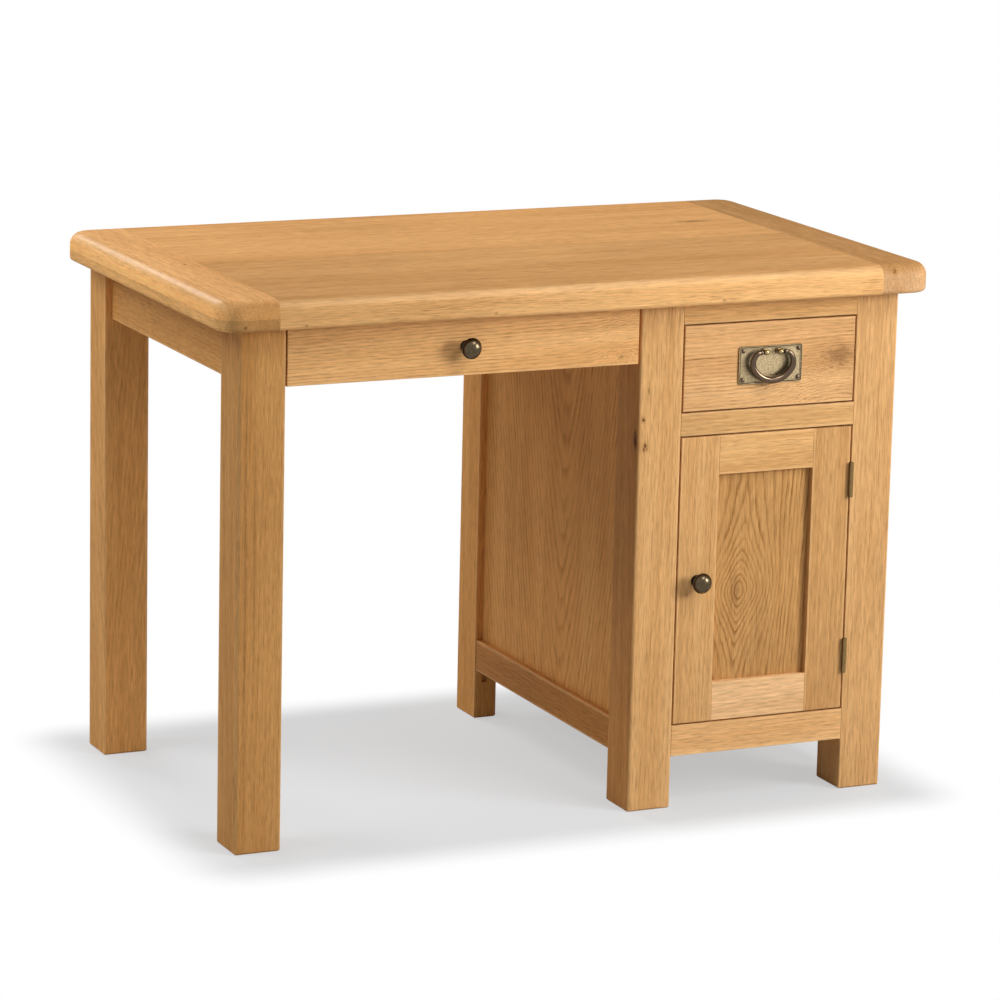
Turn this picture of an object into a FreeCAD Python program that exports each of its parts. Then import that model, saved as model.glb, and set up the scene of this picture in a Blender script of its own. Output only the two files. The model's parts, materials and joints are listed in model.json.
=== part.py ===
import FreeCAD, Part
import Sketcher
import os
import re

# Single-pedestal oak desk: a top with end caps on six legs, a knee drawer, a small drawer and a cupboard.
# X runs to the right along the desk, Y to the back, Z up; the origin is on the floor under the top's centre.

SIZES = {
    # Top
    "desk_width": 1096,
    "desk_depth": 648,
    "desk_height": 784,
    "top_thickness": 42,
    "top_edge_round": 18,
    "top_under_round": 6,
    "top_corner_round": 35,
    "cap_width": 84,
    "tongue_thickness": 12,
    "tongue_length": 22,
    "tongue_inset": 40,
    "side_overhang": 38,
    "front_overhang": 34,
    "back_overhang": 8,
    # Legs
    "leg_size": 68,
    "slim_leg_width": 37,
    "leg_round": 5,
    "leg_ease": 1.2,
    "foot_chamfer": 2.5,
    # Rails, aprons and panels
    "pedestal_width": 415,
    "foot_clearance": 77,
    "low_rail_height": 45.5,
    "middle_rail_height": 33,
    "high_rail_height": 32,
    "drawer_opening": 128.5,
    "side_rail_low_height": 48,
    "side_rail_high_height": 60,
    "rail_thickness": 24,
    "rail_setback": 1.5,
    "divider_depth": 50,
    "tenon_length": 16,
    "tenon_shoulder": 5,
    "tenon_inset": 7,
    "tenon_thickness": 10,
    "panel_inset": 12,
    "panel_thickness": 9,
    "panel_groove": 7,
    "groove_runout": 20,
    "apron_height": 81,
    "apron_thickness": 22,
    "apron_setback": 11,
    "board_ease": 0.8,
    "floor_thickness": 16,
    "floor_groove": 8,
    "floor_drop": 10,
    # Drawers
    "front_reveal": 2.5,
    "knee_front_height": 81.5,
    "knee_drawer_clear": 75,
    "small_drawer_clear": 80,
    "front_thickness": 20,
    "side_thickness": 14,
    "drawer_back_thickness": 14,
    "side_headroom": 2,
    "knee_side_inset": 6,
    "bottom_thickness": 6,
    "bottom_groove": 6,
    "bottom_rise": 8,
    "tail_lap": 7,
    "tail_flare": 2,
    # Drawer running gear
    "runner_height": 12,
    "runner_drop": 36,
    "runner_reach": 8,
    "runner_clearance": 0.6,
    "bearer_thickness": 20,
    "bearer_ledge": 20,
    "guide_height": 30,
    "stop_width": 30,
    "stop_depth": 15,
    "stop_height": 6,
    "stop_spacing": 140,
    # Door
    "door_thickness": 22,
    "stile_width": 61,
    "door_rail_height": 57,
    "door_panel_inset": 9,
    "door_panel_thickness": 8,
    # Butt hinges
    "hinge_height": 51,
    "hinge_margin": 56,
    "knuckle_radius": 3.2,
    "knuckle_proud": 3.6,
    "knuckle_gap": 0.2,
    "knuckle_clearance": 0.25,
    "pin_radius": 1.5,
    "pin_clearance": 0.05,
    "leaf_thickness": 1.8,
    "leaf_gap": 0.3,
    "leaf_depth": 18,
    "leaf_screw_setback": 10,
    "leaf_screw_spacing": 17,
    "leaf_screw_radius": 1.4,
    "leaf_screw_head_radius": 2.6,
    "leaf_screw_head_height": 1.1,
    "leaf_screw_length": 14,
    # Magnetic catch
    "catch_width": 13,
    "catch_depth": 15,
    "catch_height": 45,
    "catch_drop": 45,
    "strike_thickness": 1.2,
    "strike_margin": 4,
    # Knobs and their screws
    "knob_radius": 15,
    "knob_foot_radius": 9,
    "knob_foot_height": 2.5,
    "knob_neck_radius": 4.8,
    "knob_neck_start": 5,
    "knob_neck_end": 13,
    "knob_rim_start": 17,
    "knob_rim_end": 19.5,
    "knob_height": 28,
    "knob_rim_round": 0.9,
    "knob_bore_depth": 12,
    "knob_screw_radius": 2,
    "knob_screw_clearance": 0.2,
    "knob_screw_head_radius": 4.5,
    "knob_screw_head_height": 2.5,
    # Drop handle
    "plate_width": 102,
    "plate_height": 55,
    "plate_thickness": 2.4,
    "plate_rim": 3.5,
    "plate_sink": 0.9,
    "plate_chamfer": 0.8,
    "pin_head_radius": 2.4,
    "pin_inset": 7,
    "pin_shank_radius": 0.8,
    "pin_shank_length": 12,
    "post_spacing": 23,
    "post_rise": 19,
    "post_head_radius": 4.4,
    "post_stem_radius": 2.8,
    "post_collar_radius": 4.2,
    "post_collar_height": 1.5,
    "post_tail_radius": 2,
    "post_tail_spare": 5,
    "nut_radius": 4.5,
    "nut_height": 3.2,
    "bail_standoff": 7.5,
    "bail_rod_radius": 3.8,
    "bail_ring_radius": 32.5,
    "bail_corner_radius": 10.5,
    "bail_pin_radius": 1.5,
    "bail_pin_clearance": 0.08,
    "bail_end_gap": 0.5,
    # Screws that hold the top
    "top_screw_radius": 2.2,
    "top_screw_head_radius": 4.2,
    "top_screw_head_height": 3,
    "top_screw_sink": 6,
    "top_screw_bite": 24,
    "top_screw_inset": 8,
    "top_screw_end": 70,
    # Every cut runs this far past the face it opens
    "cut_overrun": 1,
}

# Faces and levels that several pieces share, worked out from the sizes above.
PLACES = {
    "half_width": "desk_width / 2",
    "half_depth": "desk_depth / 2",
    "leg_top": "desk_height - top_thickness",
    "leg_right": "half_width - side_overhang",
    "leg_left": "side_overhang - half_width",
    "front_face": "front_overhang - half_depth",
    "back_face": "half_depth - back_overhang",
    "front_inner": "front_face + leg_size",
    "back_inner": "back_face - leg_size",
    "knee_left": "leg_left + leg_size",
    "pedestal_left": "leg_right - pedestal_width",
    "bay_left": "pedestal_left + leg_size",
    "bay_right": "leg_right - leg_size",
    "slim_leg_right": "pedestal_left + slim_leg_width",
    "low_rail_top": "foot_clearance + low_rail_height",
    "high_rail_bottom": "leg_top - high_rail_height",
    "drawer_floor": "high_rail_bottom - drawer_opening",
    "middle_rail_bottom": "drawer_floor - middle_rail_height",
    "side_rail_low_top": "foot_clearance + side_rail_low_height",
    "side_rail_high_bottom": "leg_top - side_rail_high_height",
    "rail_inner": "rail_setback + rail_thickness",
    "apron_inner": "apron_setback + apron_thickness",
    "apron_bottom": "leg_top - apron_height",
    "floor_top": "low_rail_top - floor_drop",
    "floor_bottom": "floor_top - floor_thickness",
    "door_left": "bay_left + front_reveal",
    "door_right": "bay_right - front_reveal",
    "door_bottom": "low_rail_top + front_reveal",
    "door_top": "middle_rail_bottom - front_reveal",
    "door_back": "front_face + door_thickness",
    "door_middle": "(door_bottom + door_top) / 2",
    "hinge_x": "bay_right - front_reveal / 2",
    "hinge_y": "front_face - knuckle_proud",
    "hinge_low": "low_rail_top + hinge_margin",
    "hinge_high": "middle_rail_bottom - hinge_margin - hinge_height",
    "knee_front_top": "leg_top - front_reveal",
    "knee_front_bottom": "knee_front_top - knee_front_height",
    "knee_centre": "(knee_left + pedestal_left) / 2",
    "knee_level": "(knee_front_bottom + knee_front_top) / 2",
    "runner_top": "leg_top - runner_drop",
    "runner_bottom": "runner_top - runner_height",
    "front_back": "front_face + front_thickness",
    "knee_drawer_end": "back_face - apron_inner - knee_drawer_clear",
    "small_drawer_end": "back_face - rail_inner - small_drawer_clear",
    "bay_centre": "(bay_left + bay_right) / 2",
    "small_front_bottom": "drawer_floor + front_reveal",
    "small_front_top": "high_rail_bottom - front_reveal",
    "small_level": "(small_front_bottom + small_front_top) / 2",
    "plate_face": "front_face - plate_thickness",
    "bail_y": "plate_face - bail_standoff",
    "bail_z": "small_level + post_rise",
    "bail_straight_end": "post_spacing / 2 + post_head_radius + bail_end_gap",
    "bail_bend": "bail_ring_radius - bail_corner_radius",
}

# Share of each dovetail's pitch that the wide end of the tail takes.
TAIL_SHARE = 0.62
# Coordinates closer than this share of a millimetre are the same.
SAME_SHARE = 1e-6
KNEE_TAILS = 3
SMALL_TAILS = 4
KNUCKLES = 5
LEAF_SCREWS = 3

RIGHT_ANGLE = 90
HALF_TURN = 180

DOC = FreeCAD.newDocument("Desk")
SHEET = DOC.addObject("Spreadsheet::Sheet", "Sizes")
NAME = re.compile(r"[a-z]+(?:_[a-z]+)+")
PIECES = []


def fill_sheet():
    """Write the driving sizes as numbers and the shared places as formulas."""
    rows = [(name, str(value)) for name, value in SIZES.items()]
    rows += [(name, f"={formula}") for name, formula in PLACES.items()]
    for row, (name, content) in enumerate(rows, 1):
        SHEET.set(f"A{row}", name)
        SHEET.set(f"B{row}", content)
        SHEET.setAlias(f"B{row}", name)
    DOC.recompute()


def bind(thing, field, text):
    """Tie one field of an object to a sum written in the sheet's names."""
    thing.setExpression(field, NAME.sub(r"Sizes.\g<0>", text))


def number(text):
    """The present value of a sum written in the sheet's names."""
    return float(SHEET.evalExpression(NAME.sub(r"Sizes.\g<0>", text)))


def piece(label, thing):
    """Name a finished sub-part and keep it for export."""
    thing.Label = label
    PIECES.append(thing)
    return thing


# Shapes


def block(x, y, z):
    """A box between a low and a high bound along each axis."""
    box = DOC.addObject("Part::Box", "Block")
    for side, axis, (low, high) in zip(("Length", "Width", "Height"), "xyz", (x, y, z)):
        bind(box, side, f"({high}) - ({low})")
        bind(box, f"Placement.Base.{axis}", low)
    return box


TURNS = {
    "x": FreeCAD.Rotation(FreeCAD.Vector(0, 1, 0), RIGHT_ANGLE),
    "y": FreeCAD.Rotation(FreeCAD.Vector(1, 0, 0), -RIGHT_ANGLE),
    "z": FreeCAD.Rotation(),
}


def stand(thing, axis, centre, low):
    """Turn a round shape's own axis to X, Y or Z and place its low end."""
    thing.Placement = FreeCAD.Placement(FreeCAD.Vector(), TURNS[axis])
    others = [letter for letter in "xyz" if letter != axis]
    for letter, text in zip(others, centre):
        bind(thing, f"Placement.Base.{letter}", text)
    bind(thing, f"Placement.Base.{axis}", low)
    return thing


def rod(axis, centre, ends, radius):
    """A round bar along an axis; centre gives its place on the other two axes, in their order."""
    bar = DOC.addObject("Part::Cylinder", "Rod")
    bind(bar, "Radius", radius)
    bind(bar, "Height", f"({ends[1]}) - ({ends[0]})")
    return stand(bar, axis, centre, ends[0])


def taper(axis, centre, ends, low_radius, high_radius):
    """A cone's frustum along an axis."""
    cone = DOC.addObject("Part::Cone", "Taper")
    bind(cone, "Radius1", low_radius)
    bind(cone, "Radius2", high_radius)
    bind(cone, "Height", f"({ends[1]}) - ({ends[0]})")
    return stand(cone, axis, centre, ends[0])


def ball(x, y, z, radius):
    """A sphere."""
    sphere = DOC.addObject("Part::Sphere", "Ball")
    bind(sphere, "Radius", radius)
    for axis, text in zip("xyz", (x, y, z)):
        bind(sphere, f"Placement.Base.{axis}", text)
    return sphere


def joined(*things):
    """Several overlapping or touching shapes as one solid."""
    if len(things) == 1:
        return things[0]
    fuse = DOC.addObject("Part::MultiFuse", "Joined")
    fuse.Shapes = list(things)
    fuse.Refine = True
    return fuse


def less(base, *tools):
    """A shape with others cut out of it."""
    cut = DOC.addObject("Part::Cut", "Less")
    cut.Base = base
    cut.Tool = joined(*tools)
    cut.Refine = True
    return cut


def together(*things):
    """Separate solids that share a node."""
    group = DOC.addObject("Part::Compound", "Together")
    group.Links = list(things)
    return group


def edges_where(thing, chosen):
    """Numbers of the edges whose bounding box a test accepts."""
    DOC.recompute()
    return [place for place, edge in enumerate(thing.Shape.Edges, 1) if chosen(edge)]


def eased(base, radius, chosen, kind="Part::Fillet"):
    """Round, or chamfer, the edges that a test accepts."""
    places = edges_where(base, chosen)
    soft = DOC.addObject(kind, "Eased")
    soft.Base = base
    width = number(radius)
    soft.Edges = [(place, width, width) for place in places]
    return soft


def near(left, right):
    """Whether two coordinates are the same, to a share of the sheet's unit."""
    return abs(left - right) < SAME_SHARE


def low_high(edge, axis):
    """An edge's extent along an axis."""
    box = edge.BoundBox
    return getattr(box, f"{axis}Min"), getattr(box, f"{axis}Max")


def lies_at(edge, axis, text):
    """Whether the whole edge lies in the plane at a place on an axis."""
    value = number(text)
    return all(near(end, value) for end in low_high(edge, axis))


def runs_along(edge, axis):
    """Whether the edge is a straight one along an axis."""
    return all(near(*low_high(edge, other)) for other in "XYZ" if other != axis)


def runs_round(edge):
    """Whether the edge is a whole circle."""
    return len(edge.Vertexes) == 1


def around(axis, text):
    """A test for the edges around the face at a place on an axis."""
    return lambda edge: lies_at(edge, axis, text)


def inward(face, sign, start, end):
    """Low and high bounds at two distances in from a face, to the right (1) or to the left (-1)."""
    bounds = (f"{face} + {sign} * ({start})", f"{face} + {sign} * ({end})")
    return bounds if sign > 0 else bounds[::-1]


def rail(run, bounds, cheek, shown):
    """A board along X (0) or Y (1), eased around its shown face, and its tenons; cheek bounds them across."""
    low, high = bounds[run]
    level = (f"{bounds[2][0]} + tenon_shoulder", f"{bounds[2][1]} - tenon_shoulder")
    tenons = []
    for ends in ((f"{low} - tenon_length", low), (high, f"{high} + tenon_length")):
        limits = [cheek, cheek, level]
        limits[run] = ends
        tenons.append(block(*limits))
    return eased(block(*bounds), "board_ease", around("XY"[1 - run], shown)), tenons


# Top


def top_panel(screws):
    """The glued field of the top, with a tongue at each end and rounded long edges."""
    x = ("cap_width - half_width", "half_width - cap_width")
    field = block(x, ("-half_depth", "half_depth"), ("leg_top", "desk_height"))
    upper = eased(field, "top_edge_round",
                  lambda edge: runs_along(edge, "X") and lies_at(edge, "Z", "desk_height"))
    lower = eased(upper, "top_under_round",
                  lambda edge: runs_along(edge, "X") and lies_at(edge, "Z", "leg_top"))
    tongues = [top_tongue(f"{x[0]} - tongue_length", x[0]), top_tongue(x[1], f"{x[1]} + tongue_length")]
    piece("top_panel", less(joined(lower, *tongues), screws))
    return tongues


def top_tongue(low, high):
    """A tongue on the field's end, stopped short of the long edges."""
    middle = "desk_height - top_thickness / 2"
    return block((low, high), ("tongue_inset - half_depth", "half_depth - tongue_inset"),
                 (f"{middle} - tongue_thickness / 2", f"{middle} + tongue_thickness / 2"))


def top_end(label, sign, tongue):
    """A cross-grain cap with rounded outer corners and edges, grooved for the field's tongue."""
    outer = f"{sign} * half_width"
    joint = f"{sign} * (half_width - cap_width)"
    x = (joint, outer) if sign > 0 else (outer, joint)
    blank = block(x, ("-half_depth", "half_depth"), ("leg_top", "desk_height"))
    cornered = eased(blank, "top_corner_round",
                     lambda edge: runs_along(edge, "Z") and lies_at(edge, "X", outer))

    def rim_at(level):
        return lambda edge: lies_at(edge, "Z", level) and not lies_at(edge, "X", joint)

    upper = eased(cornered, "top_edge_round", rim_at("desk_height"))
    lower = eased(upper, "top_under_round", rim_at("leg_top"))
    piece(label, less(lower, tongue))


# Legs


def leg(label, x, y, outer, cuts):
    """A square leg: its outer arris well rounded, the others eased, the foot chamfered."""
    blank = block(x, y, ("0", "leg_top"))
    footed = eased(blank, "foot_chamfer", lambda edge: lies_at(edge, "Z", "0"), "Part::Chamfer")

    def upright_at(edge, corners):
        on_one = any(lies_at(edge, "X", u) and lies_at(edge, "Y", v) for u, v in corners)
        return on_one and runs_along(edge, "Z")

    rounded = eased(footed, "leg_round", lambda edge: upright_at(edge, [outer]))
    others = [(u, v) for u in x for v in y if (u, v) != outer]
    softened = eased(rounded, "leg_ease", lambda edge: upright_at(edge, others))
    piece(label, less(softened, *cuts))


# Framed sides and back of the pedestal


def side_frame(hand, face, sign, floor):
    """A low and a high rail and a panel on one side, with what they cut in the legs."""
    board_x = inward(face, sign, "rail_setback", "rail_inner")
    groove_x = inward(face, sign, "panel_inset", "panel_inset + panel_thickness")
    run = ("front_inner", "back_inner")
    panel = block(groove_x, ("front_inner - panel_groove", "back_inner + panel_groove"),
                  ("side_rail_low_top - panel_groove", "side_rail_high_bottom + panel_groove"))
    shown = f"{face} + {sign} * rail_setback"
    low, low_tenons = rail(1, (board_x, run, ("foot_clearance", "side_rail_low_top")), groove_x, shown)
    high, high_tenons = rail(1, (board_x, run, ("side_rail_high_bottom", "leg_top")), groove_x, shown)
    piece(f"side_panel_{hand}", panel)
    piece(f"side_rail_low_{hand}", less(joined(low, *low_tenons), panel, floor))
    piece(f"side_rail_high_{hand}", less(joined(high, *high_tenons), panel))
    groove_z = ("foot_clearance - groove_runout", "leg_top + cut_overrun")
    front_groove = block(groove_x, ("front_inner - panel_groove", "front_inner + cut_overrun"), groove_z)
    back_groove = block(groove_x, ("back_inner - cut_overrun", "back_inner + panel_groove"), groove_z)
    return ([front_groove, low_tenons[0], high_tenons[0]], [back_groove, low_tenons[1], high_tenons[1]])


def back_frame(floor):
    """The rails and the panel between the pedestal's back legs, with what they cut in each leg."""
    board_y = ("back_face - rail_inner", "back_face - rail_setback")
    groove_y = ("back_face - panel_inset - panel_thickness", "back_face - panel_inset")
    run = ("slim_leg_right", "bay_right")
    panel = block(("slim_leg_right - panel_groove", "bay_right + panel_groove"), groove_y,
                  ("side_rail_low_top - panel_groove", "side_rail_high_bottom + panel_groove"))
    low, low_tenons = rail(0, (run, board_y, ("foot_clearance", "side_rail_low_top")), groove_y, board_y[1])
    high, high_tenons = rail(0, (run, board_y, ("side_rail_high_bottom", "leg_top")), groove_y, board_y[1])
    piece("back_panel", panel)
    piece("back_rail_low", less(joined(low, *low_tenons), panel, floor))
    piece("back_rail_high", less(joined(high, *high_tenons), panel))
    groove_z = ("foot_clearance - groove_runout", "leg_top + cut_overrun")
    left_groove = block(("slim_leg_right - panel_groove", "slim_leg_right + cut_overrun"), groove_y, groove_z)
    right_groove = block(("bay_right - cut_overrun", "bay_right + panel_groove"), groove_y, groove_z)
    return ([left_groove, low_tenons[0], high_tenons[0]], [right_groove, low_tenons[1], high_tenons[1]])


def front_rails(floor):
    """The three rails across the pedestal's front, with their tenons in the left and right leg."""
    cheek = ("front_face + tenon_inset", "front_face + tenon_inset + tenon_thickness")
    run = ("bay_left", "bay_right")
    levels = {
        "front_rail_low": ("rail_thickness", ("foot_clearance", "low_rail_top")),
        "front_rail_middle": ("divider_depth", ("middle_rail_bottom", "drawer_floor")),
        "front_rail_high": ("divider_depth", ("high_rail_bottom", "leg_top")),
    }
    left, right = [], []
    for label, (depth, z) in levels.items():
        board, tenons = rail(0, (run, ("front_face", f"front_face + {depth}"), z), cheek, "front_face")
        whole = joined(board, *tenons)
        piece(label, less(whole, floor) if label == "front_rail_low" else whole)
        left.append(tenons[0])
        right.append(tenons[1])
    return left, right


def cupboard_floor():
    """The cupboard's floor, tongued into the low rails and notched round the legs."""
    level = ("floor_bottom", "floor_top")
    reach = "rail_inner - floor_groove"
    wide = block((f"pedestal_left + {reach}", f"leg_right - ({reach})"), ("front_inner", "back_inner"), level)
    ahead = block(("bay_left", "bay_right"),
                  ("front_face + rail_thickness - floor_groove", "front_inner"), level)
    behind = block(("slim_leg_right", "bay_right"), ("back_inner", f"back_face - ({reach})"), level)
    return piece("cupboard_floor", joined(wide, ahead, behind))


def aprons():
    """The left and back aprons of the knee side, with their tenons."""
    inset = ("apron_setback + apron_thickness / 2 - tenon_thickness / 2",
             "apron_setback + apron_thickness / 2 + tenon_thickness / 2")
    level = ("apron_bottom", "leg_top")
    left_x = inward("leg_left", 1, "apron_setback", "apron_inner")
    back_y = inward("back_face", -1, "apron_setback", "apron_inner")
    left, left_tenons = rail(1, (left_x, ("front_inner", "back_inner"), level),
                             inward("leg_left", 1, *inset), left_x[0])
    back, back_tenons = rail(0, (("knee_left", "pedestal_left"), back_y, level),
                             inward("back_face", -1, *inset), back_y[1])
    piece("apron_left", joined(left, *left_tenons))
    piece("apron_back", joined(back, *back_tenons))
    return left_tenons, back_tenons


# Drawer running gear


def bearer_plan(face, bay, sign):
    """Plan bounds of a bearer beside a leg: the part behind the leg and the part beside it."""
    inner = f"{bay} + {sign} * bearer_ledge"
    rail_face = f"{face} + {sign} * rail_inner"
    behind = (rail_face, inner) if sign > 0 else (inner, rail_face)
    beside = (bay, inner) if sign > 0 else (inner, bay)
    return ((behind, ("front_inner", "back_inner")),
            (beside, ("front_face + divider_depth", "front_inner")))


def bearer(face, bay, sign, level):
    """A board along the drawer's side, notched round the front leg."""
    return [block(x, y, level) for x, y in bearer_plan(face, bay, sign)]


SIDES = (("pedestal_left", "bay_left", 1), ("leg_right", "bay_right", -1))


def drawer_runners():
    """Two bearers level with the middle rail, each with a guide beside the drawer."""
    runners = []
    for face, bay, sign in SIDES:
        base = bearer(face, bay, sign, ("drawer_floor - bearer_thickness", "drawer_floor"))
        rail_face = f"{face} + {sign} * rail_inner"
        edge = f"{bay} + {sign} * (front_reveal - runner_clearance)"
        x = (rail_face, edge) if sign > 0 else (edge, rail_face)
        guide = block(x, ("front_inner", "back_inner"), ("drawer_floor", "drawer_floor + guide_height"))
        runners.append(joined(*base, guide))
    piece("drawer_runners", together(*runners))


def drawer_kickers(screws):
    """Two boards above the small drawer's sides that keep it level and hold the top."""
    kickers = []
    for (face, bay, sign), fasteners in zip(SIDES, screws):
        board = joined(*bearer(face, bay, sign, ("high_rail_bottom", "leg_top")))
        kickers.append(less(board, *fasteners))
    piece("drawer_kickers", together(*kickers))


def drawer_stops():
    """Two blocks on the middle rail that meet the back of the small drawer's front."""
    stops = []
    for sign in (-1, 1):
        centre = f"bay_centre + {sign} * stop_spacing / 2"
        stops.append(block((f"{centre} - stop_width / 2", f"{centre} + stop_width / 2"),
                           ("front_back", "front_back + stop_depth"),
                           ("drawer_floor", "drawer_floor + stop_height")))
    piece("drawer_stops", together(*stops))


def knee_runner_bounds(clearance):
    """Bounds of the two strips that carry the knee drawer, or of their grooves."""
    strips = []
    y = ("front_inner", "back_inner")
    z = (f"runner_bottom - {clearance}", "runner_top")
    for face, sign in (("knee_left", 1), ("pedestal_left", -1)):
        depth = f"front_reveal + runner_reach - runner_clearance + {clearance}"
        strips.append((inward(face, sign, "-rail_setback", depth), y, z))
    return strips


def knee_runners(screws):
    """The left strip stands on a bearer behind the legs, the right one on the pedestal's high rail."""
    left, right = [block(*bounds) for bounds in knee_runner_bounds("0")]
    carrier = block(("leg_left + apron_inner", "knee_left - rail_setback"), ("front_inner", "back_inner"),
                    ("side_rail_high_bottom", "leg_top"))
    piece("knee_runners", together(less(joined(carrier, left), *screws), right))


def top_screw(x, y, underside):
    """A screw up through a bearer into the top, its head sunk in the bearer, and the hole it needs."""
    seat = f"{underside} + top_screw_sink"
    shank = rod("z", (x, y), (seat, "leg_top + top_screw_bite"), "top_screw_radius")
    head = rod("z", (x, y), (f"{seat} - top_screw_head_height", seat), "top_screw_head_radius")
    well = rod("z", (x, y), (f"{underside} - cut_overrun", seat), "top_screw_head_radius")
    return joined(shank, head), joined(shank, well)


def top_screws():
    """Two screws in each bearer under the top; returns the holes for each bearer."""
    places = [("bay_left + top_screw_inset", "high_rail_bottom"),
              ("bay_right - top_screw_inset", "high_rail_bottom"),
              ("knee_left - rail_setback - top_screw_inset", "side_rail_high_bottom")]
    screws, holes = [], []
    for x, underside in places:
        pair = [top_screw(x, y, underside)
                for y in ("front_inner + top_screw_end", "back_inner - top_screw_end")]
        screws += [screw for screw, hole in pair]
        holes.append([hole for screw, hole in pair])
    return piece("top_screws", together(*screws)), holes


# Drawers


def tails(x, shoulder, reach, z, count, sign):
    """Dovetails on the end of a drawer side: wide at their far end, narrow at the shoulder."""
    made = []
    low, high = z
    pitch = f"(({high}) - ({low})) / {count}"
    far = f"{shoulder} + {sign} * ({reach})"
    for place in range(count):
        centre = f"({low}) + {place + 1} * {pitch} - {pitch} / 2"
        half = f"{pitch} * {TAIL_SHARE} / 2"
        ends = {far: half, shoulder: f"{half} - tail_flare"}
        first, last = (shoulder, far) if sign > 0 else (far, shoulder)
        wedge = DOC.addObject("Part::Wedge", "Tail")
        fields = {"Ymin": first, "Ymax": last, "Xmin": x[0], "Xmax": x[1], "X2min": x[0], "X2max": x[1]}
        for prefix, end in (("Z", first), ("Z2", last)):
            fields[f"{prefix}min"] = f"{centre} - ({ends[end]})"
            fields[f"{prefix}max"] = f"{centre} + ({ends[end]})"
        for field, text in fields.items():
            bind(wedge, field, text)
        made.append(wedge)
    return made


def drawer(prefix, x, front_z, side_z, count, side_cuts, front_cuts):
    """A dovetailed drawer box: front, two sides, a back and a bottom slid in under the back."""
    end = f"{prefix}_end"
    shoulder = f"{end} - drawer_back_thickness"
    bottom_z = (f"{side_z[0]} + bottom_rise", f"{side_z[0]} + bottom_rise + bottom_thickness")
    back_z = (bottom_z[1], side_z[1])
    inner = (f"{x[0]} + side_thickness - bottom_groove", f"{x[1]} - side_thickness + bottom_groove")
    bottom = block(inner, ("front_back - bottom_groove", end), bottom_z)
    walls = {"left": (x[0], f"{x[0]} + side_thickness"), "right": (f"{x[1]} - side_thickness", x[1])}
    front_tails, back_tails = [], []
    for hand, wall in walls.items():
        ahead = tails(wall, "front_back", "front_thickness - tail_lap", side_z, count, -1)
        behind = tails(wall, shoulder, "drawer_back_thickness", back_z, count, 1)
        side = joined(block(wall, ("front_back", shoulder), side_z), *ahead, *behind)
        piece(f"{prefix}_side_{hand}", less(side, bottom, *side_cuts))
        front_tails += ahead
        back_tails += behind
    face = eased(block(x, ("front_face", "front_back"), front_z), "board_ease", around("Y", "front_face"))
    piece(f"{prefix}_front", less(face, bottom, *front_tails, *front_cuts))
    piece(f"{prefix}_back", less(block(x, (shoulder, end), back_z), *back_tails, *side_cuts))
    piece(f"{prefix}_bottom", bottom)


def knee_drawer():
    """The wide drawer under the top, hung on strips in grooves along its sides."""
    x = ("knee_left + front_reveal", "pedestal_left - front_reveal")
    grooves = [block(*bounds) for bounds in knee_runner_bounds("runner_clearance")]
    hole = knob("knee_drawer", "knee_centre", "knee_level", "front_back")
    drawer("knee_drawer", x, ("knee_front_bottom", "knee_front_top"),
           ("knee_front_bottom + knee_side_inset", "knee_front_top - knee_side_inset"),
           KNEE_TAILS, grooves, [hole])


def small_drawer(handle_holes):
    """The small drawer in the pedestal, whose sides slide on the bearers."""
    drawer("small_drawer", ("bay_left + front_reveal", "bay_right - front_reveal"),
           ("small_front_bottom", "small_front_top"), ("drawer_floor", "high_rail_bottom - side_headroom"),
           SMALL_TAILS, [], handle_holes)


# Knobs


def outline(body, points, dome):
    """A closed sketch of radius and height, its corners tied to the sheet; the dome is an arc on the axis."""
    sketch = body.newObject("Sketcher::SketchObject", "Outline")
    plane = next(item for item in body.Origin.OriginFeatures if item.Role == "XY_Plane")
    sketch.AttachmentSupport = [(plane, "")]
    sketch.MapMode = "FlatFace"
    spots = [FreeCAD.Vector(number(u), number(v), 0) for u, v in points]
    count = len(spots)
    for place, spot in enumerate(spots):
        after = spots[(place + 1) % count]
        if place == dome:
            rise = after.y - spot.y
            radius = (spot.x ** 2 + rise ** 2) / (2 * rise)
            centre = FreeCAD.Vector(0, after.y - radius, 0)
            middle = (spot - centre) + (after - centre)
            sketch.addGeometry(Part.Arc(spot, centre + middle.normalize() * radius, after))
        else:
            sketch.addGeometry(Part.LineSegment(spot, after))
    # A line's or arc's start is its point 1, its end 2, its centre 3; -1 and -2 are the sketch's own axes.
    for place in range(count):
        sketch.addConstraint(Sketcher.Constraint("Coincident", place, 2, (place + 1) % count, 1))
    sketch.addConstraint(Sketcher.Constraint("PointOnObject", dome, 3, -2))
    for place, texts in enumerate(points):
        for axis, word, text in zip((-2, -1), ("DistanceX", "DistanceY"), texts):
            if text == "0":
                sketch.addConstraint(Sketcher.Constraint("PointOnObject", place, 1, axis))
                continue
            size = Sketcher.Constraint(word, -1, 1, place, 1, number(text))
            bind(sketch, f"Constraints[{sketch.addConstraint(size)}]", text)
    return sketch


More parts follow.
